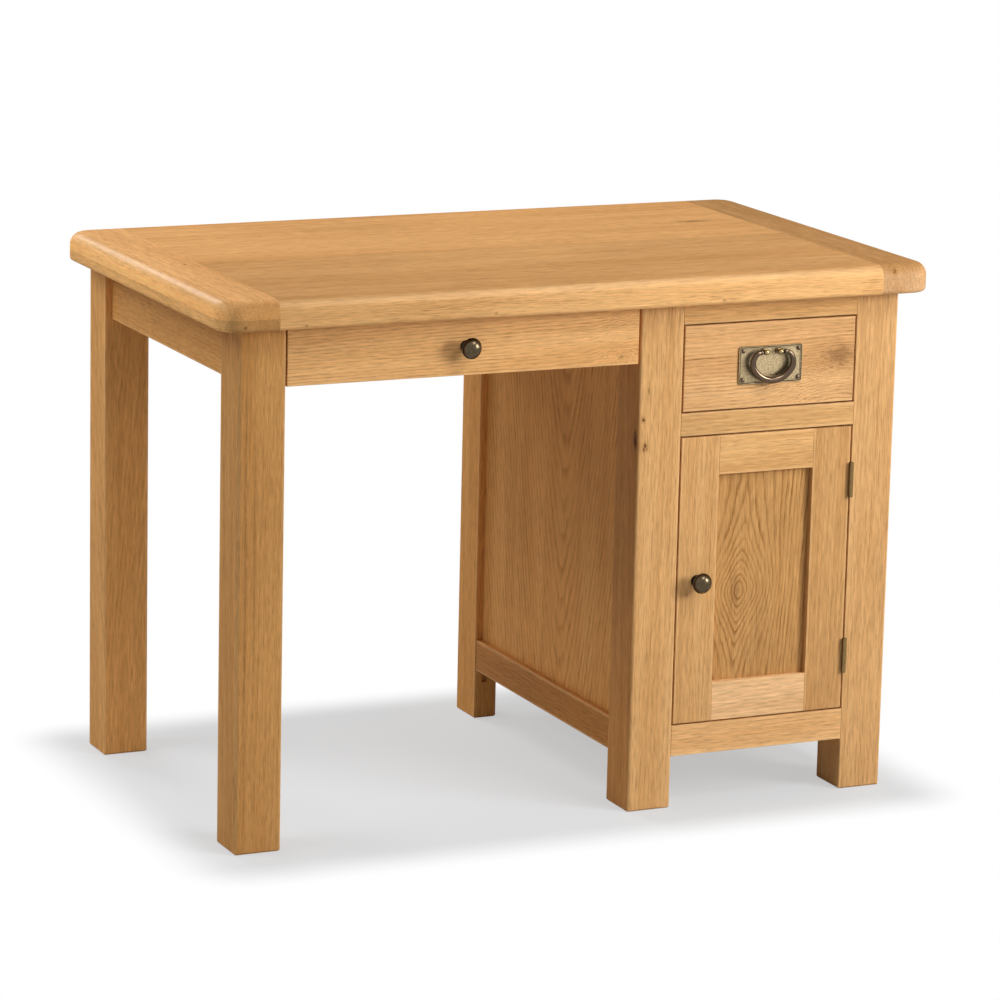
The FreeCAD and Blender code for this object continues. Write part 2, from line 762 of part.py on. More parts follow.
def knob(prefix, x, z, inside):
    """A turned mushroom knob and the screw that holds it; returns the screw's hole."""
    points = [("knob_screw_radius", "0"), ("knob_foot_radius", "0"), ("knob_foot_radius", "knob_foot_height"),
              ("knob_neck_radius", "knob_neck_start"), ("knob_neck_radius", "knob_neck_end"),
              ("knob_radius", "knob_rim_start"), ("knob_radius", "knob_rim_end"), ("0", "knob_height"),
              ("0", "knob_bore_depth"), ("knob_screw_radius", "knob_bore_depth")]
    body = DOC.addObject("PartDesign::Body", "Knob")
    sketch = outline(body, points, points.index(("knob_radius", "knob_rim_end")))
    turned = body.newObject("PartDesign::Revolution", "Turned")
    turned.Profile = sketch
    turned.ReferenceAxis = (sketch, ["V_Axis"])
    rims = edges_where(turned, lambda edge: runs_round(edge)
                       and near(edge.BoundBox.XMax, number("knob_radius")))
    soft = body.newObject("PartDesign::Fillet", "Soft")
    soft.Base = (turned, [f"Edge{place}" for place in rims])
    bind(soft, "Radius", "knob_rim_round")
    body.Placement = FreeCAD.Placement(FreeCAD.Vector(), FreeCAD.Rotation(FreeCAD.Vector(0, 0, 1), HALF_TURN))
    for axis, text in zip("xyz", (x, "front_face", z)):
        bind(body, f"Placement.Base.{axis}", text)
    piece(f"{prefix}_knob", body)
    shank = rod("y", (x, z), ("front_face - knob_bore_depth", inside), "knob_screw_radius")
    head = rod("y", (x, z), (inside, f"{inside} + knob_screw_head_height"), "knob_screw_head_radius")
    piece(f"{prefix}_knob_screw", joined(shank, head))
    return rod("y", (x, z), ("front_face - cut_overrun", f"{inside} + cut_overrun"),
               "knob_screw_radius + knob_screw_clearance")


# Drop handle of the small drawer


def handle():
    """Back plate, corner pins, two posts with nuts and the bail; returns the holes in the drawer's front."""
    pins, pin_holes = handle_pins()
    posts, post_holes = handle_posts()
    x = ("bay_centre - plate_width / 2", "bay_centre + plate_width / 2")
    z = ("small_level - plate_height / 2", "small_level + plate_height / 2")
    blank = eased(block(x, ("plate_face", "front_face"), z), "plate_chamfer", around("Y", "plate_face"),
                  "Part::Chamfer")
    sunk = block((f"{x[0]} + plate_rim", f"{x[1]} - plate_rim"),
                 ("plate_face - cut_overrun", "plate_face + plate_sink"),
                 (f"{z[0]} + plate_rim", f"{z[1]} - plate_rim"))
    piece("handle_plate", less(blank, sunk, *pin_holes, *post_holes))
    piece("handle_pins", together(*pins))
    piece("handle_posts", together(*posts))
    bail()
    return [*pin_holes, *post_holes]


def handle_pins():
    """Four round-headed pins at the plate's corners, and their holes."""
    pins, holes = [], []
    seat = "plate_face + plate_sink"
    for side in (-1, 1):
        for rise in (-1, 1):
            x = f"bay_centre + {side} * (plate_width / 2 - pin_inset)"
            z = f"small_level + {rise} * (plate_height / 2 - pin_inset)"
            shank = rod("y", (x, z), (seat, f"{seat} + pin_shank_length"), "pin_shank_radius")
            round_head = ball(x, seat, z, "pin_head_radius")
            behind = rod("y", (x, z), (seat, f"{seat} + pin_head_radius + cut_overrun"),
                         "pin_head_radius + cut_overrun")
            pins.append(joined(less(round_head, behind), shank))
            holes.append(shank)
    return pins, holes


def handle_posts():
    """Two posts through the plate and the drawer's front, each with a nut; a bail pin turns in each head."""
    parts, holes = [], []
    seat = "plate_face + plate_sink"
    inside = "front_back"
    for side in (-1, 1):
        x = f"bay_centre + {side} * post_spacing / 2"
        centre = (x, "bail_z")
        head = ball(x, "bail_y", "bail_z", "post_head_radius")
        stem = rod("y", centre, ("bail_y", seat), "post_stem_radius")
        collar = rod("y", centre, (f"{seat} - post_collar_height", seat), "post_collar_radius")
        tail = rod("y", centre, (seat, f"{inside} + post_tail_spare"), "post_tail_radius")
        outer = f"{x} + {side} * (post_head_radius + cut_overrun)"
        ends = (x, outer) if side > 0 else (outer, x)
        bore = rod("x", ("bail_y", "bail_z"), ends, "bail_pin_radius + bail_pin_clearance")
        nut = rod("y", centre, (inside, f"{inside} + nut_height"), "nut_radius")
        parts += [less(joined(head, stem, collar, tail), bore), less(nut, tail)]
        holes.append(tail)
    return parts, holes


def arc_tube(x, z, radius, sweep, turn):
    """Part of a ring of the bail's rod in the plane of the plate, from an angle through a sweep."""
    tube = DOC.addObject("Part::Torus", "Bend")
    bind(tube, "Radius1", radius)
    bind(tube, "Radius2", "bail_rod_radius")
    tube.Angle3 = sweep
    upright = FreeCAD.Rotation(FreeCAD.Vector(1, 0, 0), RIGHT_ANGLE)
    start = FreeCAD.Rotation(FreeCAD.Vector(0, 0, 1), turn)
    tube.Placement = FreeCAD.Placement(FreeCAD.Vector(), upright * start)
    for axis, text in zip("xyz", (x, "bail_y", z)):
        bind(tube, f"Placement.Base.{axis}", text)
    return tube


def bail():
    """The swinging ring: a half circle, two bends and two straight ends whose pins turn in the posts."""
    level = "bail_z - bail_corner_radius"
    bits = [arc_tube("bay_centre", level, "bail_ring_radius", HALF_TURN, HALF_TURN)]
    for side, turn in ((-1, RIGHT_ANGLE), (1, 0)):
        bend = f"bay_centre + {side} * bail_bend"
        end = f"bay_centre + {side} * bail_straight_end"
        tip = f"bay_centre + {side} * (post_spacing / 2 + bail_end_gap)"
        bits.append(arc_tube(bend, level, "bail_corner_radius", RIGHT_ANGLE, turn))
        for start, radius in ((end, "bail_rod_radius"), (tip, "bail_pin_radius")):
            ends = (start, bend) if side > 0 else (bend, start)
            bits.append(rod("x", ("bail_y", "bail_z"), ends, radius))
    piece("handle_bail", joined(*bits))


# Door


def leaf_bounds(sign, bottom):
    """Bounds of a hinge leaf's plate on the leg's side (1) or the door's side (-1) of the axis."""
    return (inward("hinge_x", sign, "leaf_gap / 2", "leaf_gap / 2 + leaf_thickness"),
            ("hinge_y", "front_face + leaf_depth"), (bottom, f"{bottom} + hinge_height"))


def hinge_leaf(sign, bottom, screws):
    """A plate with every other knuckle, clear of its partner's knuckles and bored for the pin."""
    centre = ("hinge_x", "hinge_y")
    pitch = f"hinge_height / {KNUCKLES}"
    plate = block(*leaf_bounds(sign, bottom))
    own, partner = [], []
    for place in range(KNUCKLES):
        low = f"{bottom} + {place} * {pitch}"
        high = f"{bottom} + {place + 1} * {pitch}"
        mine = (place % 2 == 0) == (sign > 0)
        if mine:
            trim_low = low if place == 0 else f"{low} + knuckle_gap / 2"
            trim_high = high if place == KNUCKLES - 1 else f"{high} - knuckle_gap / 2"
            own.append(rod("z", centre, (trim_low, trim_high), "knuckle_radius"))
        else:
            gap_low = low if place else f"{low} - cut_overrun"
            gap_high = high if place < KNUCKLES - 1 else f"{high} + cut_overrun"
            reach = (f"{gap_low} - knuckle_gap / 2", f"{gap_high} + knuckle_gap / 2")
            partner.append(rod("z", centre, reach, "knuckle_radius + knuckle_clearance"))
    bore = rod("z", centre, (f"{bottom} - cut_overrun", f"{bottom} + hinge_height + cut_overrun"),
               "pin_radius + pin_clearance")
    return less(joined(less(plate, *partner), *own), bore, *screws)


def leaf_screws(sign, bottom):
    """Countersunk screws through a leaf into the leg (1) or the door (-1)."""
    surface = f"hinge_x + {sign} * leaf_gap / 2"
    neck = f"{surface} + {sign} * leaf_screw_head_height"
    tip = f"{surface} + {sign} * leaf_screw_length"
    made = []
    for place in range(LEAF_SCREWS):
        step = place - (LEAF_SCREWS - 1) / 2
        z = f"{bottom} + hinge_height / 2 + {step} * leaf_screw_spacing"
        centre = ("front_face + leaf_screw_setback", z)
        if sign > 0:
            head = taper("x", centre, (surface, neck), "leaf_screw_head_radius", "leaf_screw_radius")
            shank = rod("x", centre, (neck, tip), "leaf_screw_radius")
        else:
            head = taper("x", centre, (neck, surface), "leaf_screw_radius", "leaf_screw_head_radius")
            shank = rod("x", centre, (tip, neck), "leaf_screw_radius")
        made.append(joined(head, shank))
    return made


def hinges():
    """Two butt hinges; returns what they cut in the leg and in the door's stile."""
    cuts = {}
    levels = ("hinge_low", "hinge_high")
    for sign, owner in ((1, "frame"), (-1, "door")):
        leaves, screws, housings = [], [], []
        for bottom in levels:
            fixings = leaf_screws(sign, bottom)
            leaves.append(hinge_leaf(sign, bottom, fixings))
            screws += fixings
            housings.append(block(*leaf_bounds(sign, bottom)))
        piece(f"hinge_{owner}_leaves", together(*leaves))
        piece(f"hinge_{owner}_screws", together(*screws))
        cuts[owner] = housings + screws
    pins = [rod("z", ("hinge_x", "hinge_y"), (bottom, f"{bottom} + hinge_height"), "pin_radius")
            for bottom in levels]
    piece("hinge_pins", together(*pins))
    return cuts["frame"], cuts["door"]


def door(hinge_cuts):
    """An inset frame-and-panel door with a knob on its left stile."""
    y = ("front_face", "door_back")
    cheek = ("front_face + door_panel_inset", "front_face + door_panel_inset + door_panel_thickness")
    inner = ("door_left + stile_width", "door_right - stile_width")
    lap = "door_rail_height - panel_groove"
    panel = block((f"{inner[0]} - panel_groove", f"{inner[1]} + panel_groove"), cheek,
                  (f"door_bottom + {lap}", f"door_top - ({lap})"))
    piece("door_panel", panel)
    left_cuts = [panel, knob("door", "door_left + stile_width / 2", "door_middle", "door_back")]
    right_cuts = [panel, *hinge_cuts]
    levels = {"door_rail_low": ("door_bottom", "door_bottom + door_rail_height"),
              "door_rail_high": ("door_top - door_rail_height", "door_top")}
    for label, z in levels.items():
        board, tenons = rail(0, (inner, y, z), cheek, "front_face")
        piece(label, less(joined(board, *tenons), panel))
        left_cuts.append(tenons[0])
        right_cuts.append(tenons[1])
    for label, x, cuts in (("door_stile_left", ("door_left", inner[0]), left_cuts),
                           ("door_stile_right", (inner[1], "door_right"), right_cuts)):
        board = block(x, y, ("door_bottom", "door_top"))
        piece(label, less(eased(board, "board_ease", around("Y", "front_face")), *cuts))


def catch():
    """A magnetic catch on the leg behind the door, and its strike plate on the door's back."""
    top = "door_top - catch_drop"
    bottom = f"{top} - catch_height"
    far = "bay_left + catch_width"
    seat = "door_back + strike_thickness"
    piece("catch_body", block(("bay_left", far), (seat, f"{seat} + catch_depth"), (bottom, top)))
    piece("catch_strike", block(("door_left", far), ("door_back", seat),
                                (f"{bottom} + strike_margin", f"{top} - strike_margin")))


def build():
    """Make every sub-part; the pieces that are let into others come first."""
    fill_sheet()
    floor = cupboard_floor()
    left_front, left_back = side_frame("left", "pedestal_left", 1, floor)
    right_front, right_back = side_frame("right", "leg_right", -1, floor)
    back_left, back_right = back_frame(floor)
    rails_left, rails_right = front_rails(floor)
    apron_left, apron_back = aprons()
    frame_hinges, door_hinges = hinges()
    leg_left = ("leg_left", "knee_left")
    leg_right = ("bay_right", "leg_right")
    inner_left = ("pedestal_left", "bay_left")
    ahead = ("front_face", "front_inner")
    behind = ("back_inner", "back_face")
    leg("leg_front_left", leg_left, ahead, ("leg_left", "front_face"), [apron_left[0]])
    leg("leg_back_left", leg_left, behind, ("leg_left", "back_face"), [apron_left[1], apron_back[0]])
    leg("leg_pedestal_front_left", inner_left, ahead, ("pedestal_left", "front_face"),
        left_front + rails_left)
    leg("leg_pedestal_front_right", leg_right, ahead, ("leg_right", "front_face"),
        right_front + rails_right + frame_hinges)
    leg("leg_pedestal_back_left", ("pedestal_left", "slim_leg_right"), behind, ("pedestal_left", "back_face"),
        left_back + back_left + [apron_back[1]])
    leg("leg_pedestal_back_right", leg_right, behind, ("leg_right", "back_face"), right_back + back_right)
    screws, holes = top_screws()
    tongues = top_panel(screws)
    top_end("top_end_left", -1, tongues[0])
    top_end("top_end_right", 1, tongues[1])
    drawer_runners()
    drawer_kickers(holes[:2])
    drawer_stops()
    knee_runners(holes[2])
    knee_drawer()
    small_drawer(handle())
    door(door_hinges)
    catch()
    DOC.recompute()


def check():
    """Stop if anything failed to compute or any sub-part is not a set of valid solids."""
    faults = [f"{thing.Label}: {thing.State}" for thing in DOC.Objects
              if "Invalid" in thing.State or "Error" in thing.State]
    for thing in PIECES:
        if thing.Shape.isNull() or not thing.Shape.isValid() or not thing.Shape.Solids:
            faults.append(f"{thing.Label}: bad shape")
    if faults:
        raise RuntimeError("; ".join(faults))


def export():
    """Write each sub-part to its own file."""
    os.makedirs("parts", exist_ok=True)
    for thing in PIECES:
        solids = thing.Shape.Solids
        shape = solids[0] if len(solids) == 1 else Part.makeCompound(solids)
        shape.exportStep(f"parts/{thing.Label}.step")
        print(f"{thing.Label}: {len(solids)} solid(s), {shape.Volume:.0f} mm3")


build()
check()
export()
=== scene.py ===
import json
import logging
import math
from collections.abc import Callable
from dataclasses import dataclass, fields
from enum import Enum
from itertools import pairwise

import bpy
from mathutils import Matrix, Vector


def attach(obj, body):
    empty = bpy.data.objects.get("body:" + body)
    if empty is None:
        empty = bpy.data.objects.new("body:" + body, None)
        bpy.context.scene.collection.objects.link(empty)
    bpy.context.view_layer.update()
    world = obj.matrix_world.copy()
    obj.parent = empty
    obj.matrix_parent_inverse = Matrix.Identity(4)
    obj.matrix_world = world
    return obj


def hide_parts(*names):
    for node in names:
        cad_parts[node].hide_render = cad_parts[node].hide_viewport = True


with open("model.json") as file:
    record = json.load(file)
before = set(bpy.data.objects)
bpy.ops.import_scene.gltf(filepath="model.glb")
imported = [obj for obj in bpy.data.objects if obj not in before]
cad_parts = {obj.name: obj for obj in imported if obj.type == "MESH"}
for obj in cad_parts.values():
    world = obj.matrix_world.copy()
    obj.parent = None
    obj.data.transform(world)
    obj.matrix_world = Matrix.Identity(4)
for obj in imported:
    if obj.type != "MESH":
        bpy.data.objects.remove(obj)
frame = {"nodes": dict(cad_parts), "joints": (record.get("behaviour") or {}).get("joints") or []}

LOG = logging.getLogger("desk")

Pair = tuple[float, float]
Point = tuple[float, float, float]
Colour = tuple[float, float, float]
Value = bpy.types.NodeSocket | float | Point

MILLIMETRES_PER_METRE = 1000.0
WHITE: Colour = (1.0, 1.0, 1.0)
QUARTER_TURN = 90.0
NOISE_MIDDLE = 0.5
LOW_CORNER = 0
HIGH_CORNER = 6
MERGE_WITHIN = 1e-6
TURNED_CREASE = 0.6
NEARLY_HALF = 0.49
NEAR_MIDDLE = 0.1


def millimetres(*values: float) -> Point:
    """Return lengths given in millimetres as metres."""
    return tuple(value / MILLIMETRES_PER_METRE for value in values)


def box_ends(node: str) -> tuple[Vector, Vector]:
    """Return the low and the high corner of a solid's box."""
    corners = frame["nodes"][node].bound_box
    return Vector(corners[LOW_CORNER]), Vector(corners[HIGH_CORNER])


def front_middle(node: str) -> Point:
    """Return the middle of a board's front face."""
    low, high = box_ends(node)
    return ((low.x + high.x) / 2, low.y, (low.z + high.z) / 2)


def pivot_of(joint: str) -> Point:
    """Return the place about which a joint turns."""
    return next(tuple(each["pos_m"]) for each in frame["joints"] if each["name"] == joint)


CASE_FRONT = box_ends("small_drawer_front")[0].y
TOP_FRONT = box_ends("top_panel")[0].y
TOP_FACE = box_ends("top_panel")[1].z


def on_front(x: float, z: float) -> Point:
    """Return a place on the front of legs, rails and drawers, given in millimetres."""
    return (x / MILLIMETRES_PER_METRE, CASE_FRONT, z / MILLIMETRES_PER_METRE)


def on_edge(x: float, z: float) -> Point:
    """Return a place on the top's front edge, given in millimetres."""
    return (x / MILLIMETRES_PER_METRE, TOP_FRONT, z / MILLIMETRES_PER_METRE)


def on_top(x: float, y: float) -> Point:
    """Return a place on the top's upper face, given in millimetres."""
    return (x / MILLIMETRES_PER_METRE, y / MILLIMETRES_PER_METRE, TOP_FACE)


class Grain(Enum):
    """A board's own order of the desk's axes: across its face, into its thickness, along its fibres."""

    TOP_LONG = "yzx"
    TOP_CROSS = "xzy"
    FRONT_LONG = "zyx"
    FRONT_UPRIGHT = "xyz"
    SIDE_LONG = "zxy"
    SIDE_UPRIGHT = "yxz"

    def order(self, place: Point) -> Point:
        """Return a place on the desk in the board's own order."""
        return tuple(place["xyz".index(axis)] for axis in self.value)


class Glue(Enum):
    """Which way the staves of a glued board lie beside each other."""

    ACROSS = 0
    DEEP = 1


@dataclass(frozen=True)
class Knot:
    """A knot or stain: its place on the desk, its radius, its stretch along the fibres and its darkness.

    Pull is how far the rings bend round it, in metres.
    """

    place: Point
    radius: float
    stretch: float = 2.0
    dark: float = 0.8
    pull: float = 0.006


@dataclass(frozen=True)
class Figure:
    """How one board was cut from the tree.

    The heart is the middle of the rings, measured from the board's own centre in its own order, and it
    may lean. A taper lets the rings run out along the board, which draws arches. An eye is a swelling at
    the heart, which draws closed loops with pointed ends. The tint is a factor of colour all over, partly
    the board's own tone and partly painted light and shade. The edge is a factor of colour on the faces
    beyond a band along one axis: painted highlight on the top's rounded edges and ends, painted shade on a
    leg's side. The end is how dark the end grain is. The arris is the width of the pale band along the long
    edges, on one side alone across or through the board where a side is given, and worn is
    how pale it is: partly rubbed wood, partly a painted highlight. A stave is the width of one glued strip.
    Strips are counted from the start, and each has its own tone, a rise above the one before it and a
    shift to another place in the tree.
    """

    grain: Grain
    heart: Point = (0.35, 0.10, 0.0)
    taper: float = 0.02
    lean: float = 0.0
    eye: float = 0.0
    eye_length: float = 0.075
    eye_round: float = 0.008
    eye_width: float = 0.047
    pitch: float = 0.0065
    wobble: float = 0.014
    contrast: float = 0.34
    stain: float = 0.20
    tint: Colour = WHITE
    edge: Colour = WHITE
    edge_axis: int = 1
    edge_band: Pair = (0.0205, 0.0020)
    end: float = 0.0
    arris: float = 0.0045
    arris_sides: Pair = (0.0, 0.0)
    worn: float = 0.34
    stave: float = 0.0
    stave_start: float = 0.0
    stave_tone: float = 0.12
    stave_rise: float = 0.0
    stave_shift: float = 1.0
    glue: Glue = Glue.ACROSS
    knots: tuple[Knot, ...] = ()


@dataclass(frozen=True)
class Layer:
    """A layer of noise: its waves per metre along three axes and how many finer layers it has.

    Noise pushed to 0 and 1 is so beyond the edges, and the gain is how far it sways another number.
    """

    scale: Point
    detail: float = 2.0
    edges: Pair = (0.0, 1.0)
    gain: float = 0.0


class Graph:
    """The node tree of one material or world, with a short call for each kind of node used here."""

    def __init__(self, owner: bpy.types.Material | bpy.types.World) -> None:
        """Start with an empty tree.

        Args:
            owner: The material or world that shows the nodes.
        """
        owner.use_nodes = True
        self.owner = owner
        self.tree = owner.node_tree
        self.tree.nodes.clear()

    def node(self, kind: str, inputs: dict[int | str, Value], **settings: object) -> bpy.types.Node:
        """Add a node.

        Args:
            kind: Blender's name for the node.
            inputs: What goes into each socket: another socket's output, or a constant.
            settings: The node's own properties.

        Returns:
            The new node.
        """
        made = self.tree.nodes.new(kind)
        for name, setting in settings.items():
            setattr(made, name, setting)
        for key, value in inputs.items():
            if isinstance(value, bpy.types.NodeSocket):
                self.tree.links.new(value, made.inputs[key])
            elif made.inputs[key].type == "RGBA":
                made.inputs[key].default_value = (*value, 1.0)
            else:
                made.inputs[key].default_value = value
        return made

    def math(self, operation: str, *values: Value) -> bpy.types.NodeSocket:
        """Return the result of a sum on numbers."""
        return self.node("ShaderNodeMath", dict(enumerate(values)), operation=operation).outputs[0]

    def vector(self, operation: str, *values: Value) -> bpy.types.NodeSocket:
        """Return the result of a sum on vectors."""
        made = self.node("ShaderNodeVectorMath", dict(enumerate(values)), operation=operation)
        return made.outputs["Value" if operation == "LENGTH" else "Vector"]

    def parts(self, vector: Value) -> list[bpy.types.NodeSocket]:
        """Return a vector's three numbers."""
        return list(self.node("ShaderNodeSeparateXYZ", {0: vector}).outputs)

    def whole(self, *parts: Value) -> bpy.types.NodeSocket:
        """Return a vector made of three numbers."""
        return self.node("ShaderNodeCombineXYZ", dict(enumerate(parts))).outputs[0]

    def step(self, value: Value, low: float, high: float) -> bpy.types.NodeSocket:
        """Return a soft step that rises from 0 at low to 1 at high, or falls where high is the lesser."""
        ends = {0: value, 1: min(low, high), 2: max(low, high), 3: float(low > high), 4: float(low <= high)}
        return self.node("ShaderNodeMapRange", ends, interpolation_type="SMOOTHSTEP").outputs[0]

    def noise(self, place: Value, layer: Layer) -> bpy.types.Node:
        """Add a layer of noise, which gives a number as its first output and a colour as its second."""
        spread = self.vector("MULTIPLY", place, layer.scale)
        return self.node("ShaderNodeTexNoise", {"Vector": spread, "Scale": 1.0, "Detail": layer.detail})

    def patches(self, place: Value, layer: Layer) -> bpy.types.NodeSocket:
        """Return noise that a soft step between the layer's edges pushes towards 0 and 1."""
        return self.step(self.noise(place, layer).outputs[0], *layer.edges)

    def sway(self, place: Value, layer: Layer, base: Value) -> bpy.types.NodeSocket:
        """Return a number that the noise sways up and down by the layer's gain."""
        swing = self.math("SUBTRACT", self.noise(place, layer).outputs[0], NOISE_MIDDLE)
        return self.math("MULTIPLY_ADD", swing, layer.gain, base)

    def chance(self, number: Value) -> bpy.types.Node:
        """Return a node whose value and colour are drawn anew for each number."""
        return self.node("ShaderNodeTexWhiteNoise", {"W": number}, noise_dimensions="1D")

    def mix(self, share: Value, first: Value, second: Value) -> bpy.types.NodeSocket:
        """Return a colour between two colours."""
        inputs = {0: share, 6: first, 7: second}
        return self.node("ShaderNodeMix", inputs, data_type="RGBA", clamp_factor=True).outputs[2]

    def bump(self, strength: float, depth: float, height: Value) -> bpy.types.NodeSocket:
        """Return a normal that is tipped by a height, the depth being that of a height of 1 in metres."""
        inputs = {"Strength": strength, "Distance": depth, "Height": height}
        return self.node("ShaderNodeBump", inputs).outputs[0]

    def finish(self, surface: bpy.types.NodeSocket) -> bpy.types.Material:
        """Return the material with a shader on its surface."""
        self.node("ShaderNodeOutputMaterial", {"Surface": surface})
        return self.owner


def box_of(node: str, grain: Grain) -> tuple[Point, Point]:
    """Return the middle and the half sizes of a board's box, in the board's own order."""
    low, high = box_ends(node)
    return grain.order((low + high) / 2), grain.order((high - low) / 2)


@dataclass(frozen=True)
class Wood:
    """Lacquered oak, solid all through: rings round a heart, open pores, fibres, staves and knots.

    Noise is scaled across a board's face, into it and along its fibres. The burnish is the gloss that
    the pale arrises have above the rest. Reaches round a knot are in radii of its core.
    """

    name: str
    pale: Colour = (0.735, 0.425, 0.168)
    honey: Colour = (0.610, 0.320, 0.112)
    brown: Colour = (0.360, 0.165, 0.048)
    pore: Colour = (0.270, 0.118, 0.036)
    knot: Colour = (0.085, 0.035, 0.014)
    roughness: float = 0.45
    coat: float = 0.10
    burnish: float = 0.0
    coat_roughness: float = 0.30
    bump: float = 0.22
    bump_depth: float = 0.0004
    seed_strides: Point = (0.37, 0.73, 1.93)
    pores: Layer = Layer((640.0, 640.0, 48.0), 1.0, (0.50, 0.68))
    pore_share: float = 0.36
    pore_spread: float = 0.45
    pore_roughness: float = 0.14
    dashes: Layer = Layer((800.0, 800.0, 60.0), 1.0, (0.36, 0.60))
    dash_least: float = 0.5
    bands: Layer = Layer((16.0, 16.0, 1.1), 3.0, (0.30, 0.70))
    band_share: float = 0.55
    streaks: Layer = Layer((85.0, 85.0, 3.0), 4.0, (0.32, 0.68))
    stains: Layer = Layer((36.0, 36.0, 1.0), 3.0, (0.56, 0.78))
    fibres: Layer = Layer((330.0, 330.0, 18.0), 3.0, gain=0.30)
    flecks: Layer = Layer((580.0, 580.0, 42.0), gain=0.66)
    clouds: Layer = Layer((7.0, 7.0, 4.0), gain=0.22)
    drift: Layer = Layer((7.0, 7.0, 1.1))
    ripples: Layer = Layer((55.0, 55.0, 4.0), gain=0.8)
    jags: Layer = Layer((150.0, 150.0, 38.0), gain=0.5)
    faint: Layer = Layer((34.0, 34.0, 6.0), edges=(0.36, 0.60))
    faint_least: float = 0.35
    early_end: float = 0.50
    late_start: float = 0.92
    year_least: float = 0.40
    line_depth: float = 0.3
    stave_reach: Point = (0.04, 0.05, 2.3)
    stave_seed: float = 0.31
    ragged: Layer = Layer((260.0, 260.0, 120.0), 3.0, gain=1.6)
    swirl_reach: float = 7.0
    halo_reach: float = 4.5
    core_reach: float = 2.1
    halo: float = 0.45
    worn_colour: Colour = (0.86, 0.54, 0.25)
    worn_core: float = 0.3
    end_band: Pair = (0.012, 0.003)

    def material(self, node: str, figure: Figure) -> bpy.types.Material:
        """Make the finish of one board.

        Args:
            node: The board's name.
            figure: How the board was cut from the tree.

        Returns:
            The board's own material.
        """
        graph = Graph(bpy.data.materials.new(f"{self.name}_{node}"))
        seed = sorted(frame["nodes"]).index(node)
        spot = self.board_place(graph, node, figure.grain)
        moved, tone = self.staves(graph, spot, figure, seed)
        seeded = graph.vector("ADD", moved, tuple(seed * stride for stride in self.seed_strides))
        swirl, halo, core = self.knots(graph, node, spot, figure)
        early, lines = self.rings(graph, moved, seeded, swirl, figure)
        pores = graph.patches(seeded, self.pores)
        spread = graph.math("MULTIPLY_ADD", early, 1.0 - self.pore_spread, self.pore_spread)
        pored = graph.math("MULTIPLY", pores, spread)
        colour = self.colour(graph, seeded, lines, pored, figure)
        # The pale arrises are partly rubbed wood and partly a painted highlight.
        rubbed = self.worn(graph, node, spot, figure)
        colour = graph.mix(rubbed, colour, self.worn_colour)
        coat = graph.math("MULTIPLY_ADD", rubbed, self.burnish, self.coat) if self.burnish else self.coat
        colour = self.faces(graph, node, spot, colour, figure)
        shade = 1.0
        for layer in (self.fibres, self.flecks, self.clouds):
            shade = graph.sway(seeded, layer, shade)
        colour = graph.vector("MULTIPLY", colour, graph.math("MULTIPLY", shade, tone))
        colour = graph.mix(halo, colour, self.brown)
        colour = graph.mix(core, colour, self.knot)
        height = graph.math("MULTIPLY_ADD", lines, -self.line_depth, graph.math("MULTIPLY", pored, -1.0))
        rough = graph.math("MULTIPLY_ADD", pored, self.pore_roughness, self.roughness)
        surface = graph.node("ShaderNodeBsdfPrincipled", {
            "Base Color": colour, "Roughness": rough, "Specular IOR Level": 0.0,
            "Normal": graph.bump(self.bump, self.bump_depth, height),
            "Coat Weight": coat, "Coat Roughness": self.coat_roughness})
        return graph.finish(surface.outputs[0])

    def board_place(self, graph: Graph, node: str, grain: Grain) -> bpy.types.NodeSocket:
        """Measure each point's place on its board.

        Args:
            graph: The material's nodes.
            node: The board's name.
            grain: The board's own order of the desk's axes.

        Returns:
            The place from the board's centre, in the board's own order.
        """
        desk = graph.parts(graph.node("ShaderNodeTexCoord", {}).outputs["Object"])
        own = graph.whole(*(desk["xyz".index(axis)] for axis in grain.value))
        return graph.vector("SUBTRACT", own, box_of(node, grain)[0])

    def colour(self, graph: Graph, seeded: Value, lines: Value, pored: Value,
               figure: Figure) -> bpy.types.NodeSocket:
        """Lay the wood's colours over each other.

        Args:
            graph: The material's nodes.
            seeded: The place in the tree, set apart for this board.
            lines: The share of ring lines.
            pored: The share of pores.
            figure: How the board was cut, with its tint.

        Returns:
            The colour before shade and knots.
        """
        pale, honey, brown, pore = (tuple(level * tone for level, tone in zip(base, figure.tint))
                                    for base in (self.pale, self.honey, self.brown, self.pore))
        band = graph.patches(seeded, self.bands)
        streak = graph.patches(seeded, self.streaks)
        streak = graph.math("MULTIPLY", streak, 1.0 - self.band_share)
        warm = graph.math("MULTIPLY_ADD", band, self.band_share, streak)
        stain = graph.patches(seeded, self.stains)
        colour = graph.mix(warm, pale, honey)
        colour = graph.mix(graph.math("MULTIPLY", stain, figure.stain), colour, brown)
        colour = graph.mix(lines, colour, brown)
        return graph.mix(graph.math("MULTIPLY", pored, self.pore_share), colour, pore)

    def worn(self, graph: Graph, node: str, spot: Value, figure: Figure) -> bpy.types.NodeSocket:
        """Find the pale arrises: partly rubbed wood, partly a painted highlight.

        Args:
            graph: The material's nodes.
            node: The board's name.
            spot: Each point's place from the board's centre.
            figure: The board's figure, with the arrises that are paler.

        Returns:
            The share of paler wood.
        """
        near = 0.0
        for place, half, side in zip(graph.parts(spot), box_of(node, figure.grain)[1], figure.arris_sides):
            place = graph.math("MULTIPLY", place, side) if side else graph.math("ABSOLUTE", place)
            near = graph.math("MAXIMUM", near, graph.math("SUBTRACT", half, place))
        share = graph.step(near, figure.arris, figure.arris * self.worn_core)
        return graph.math("MULTIPLY", share, figure.worn)

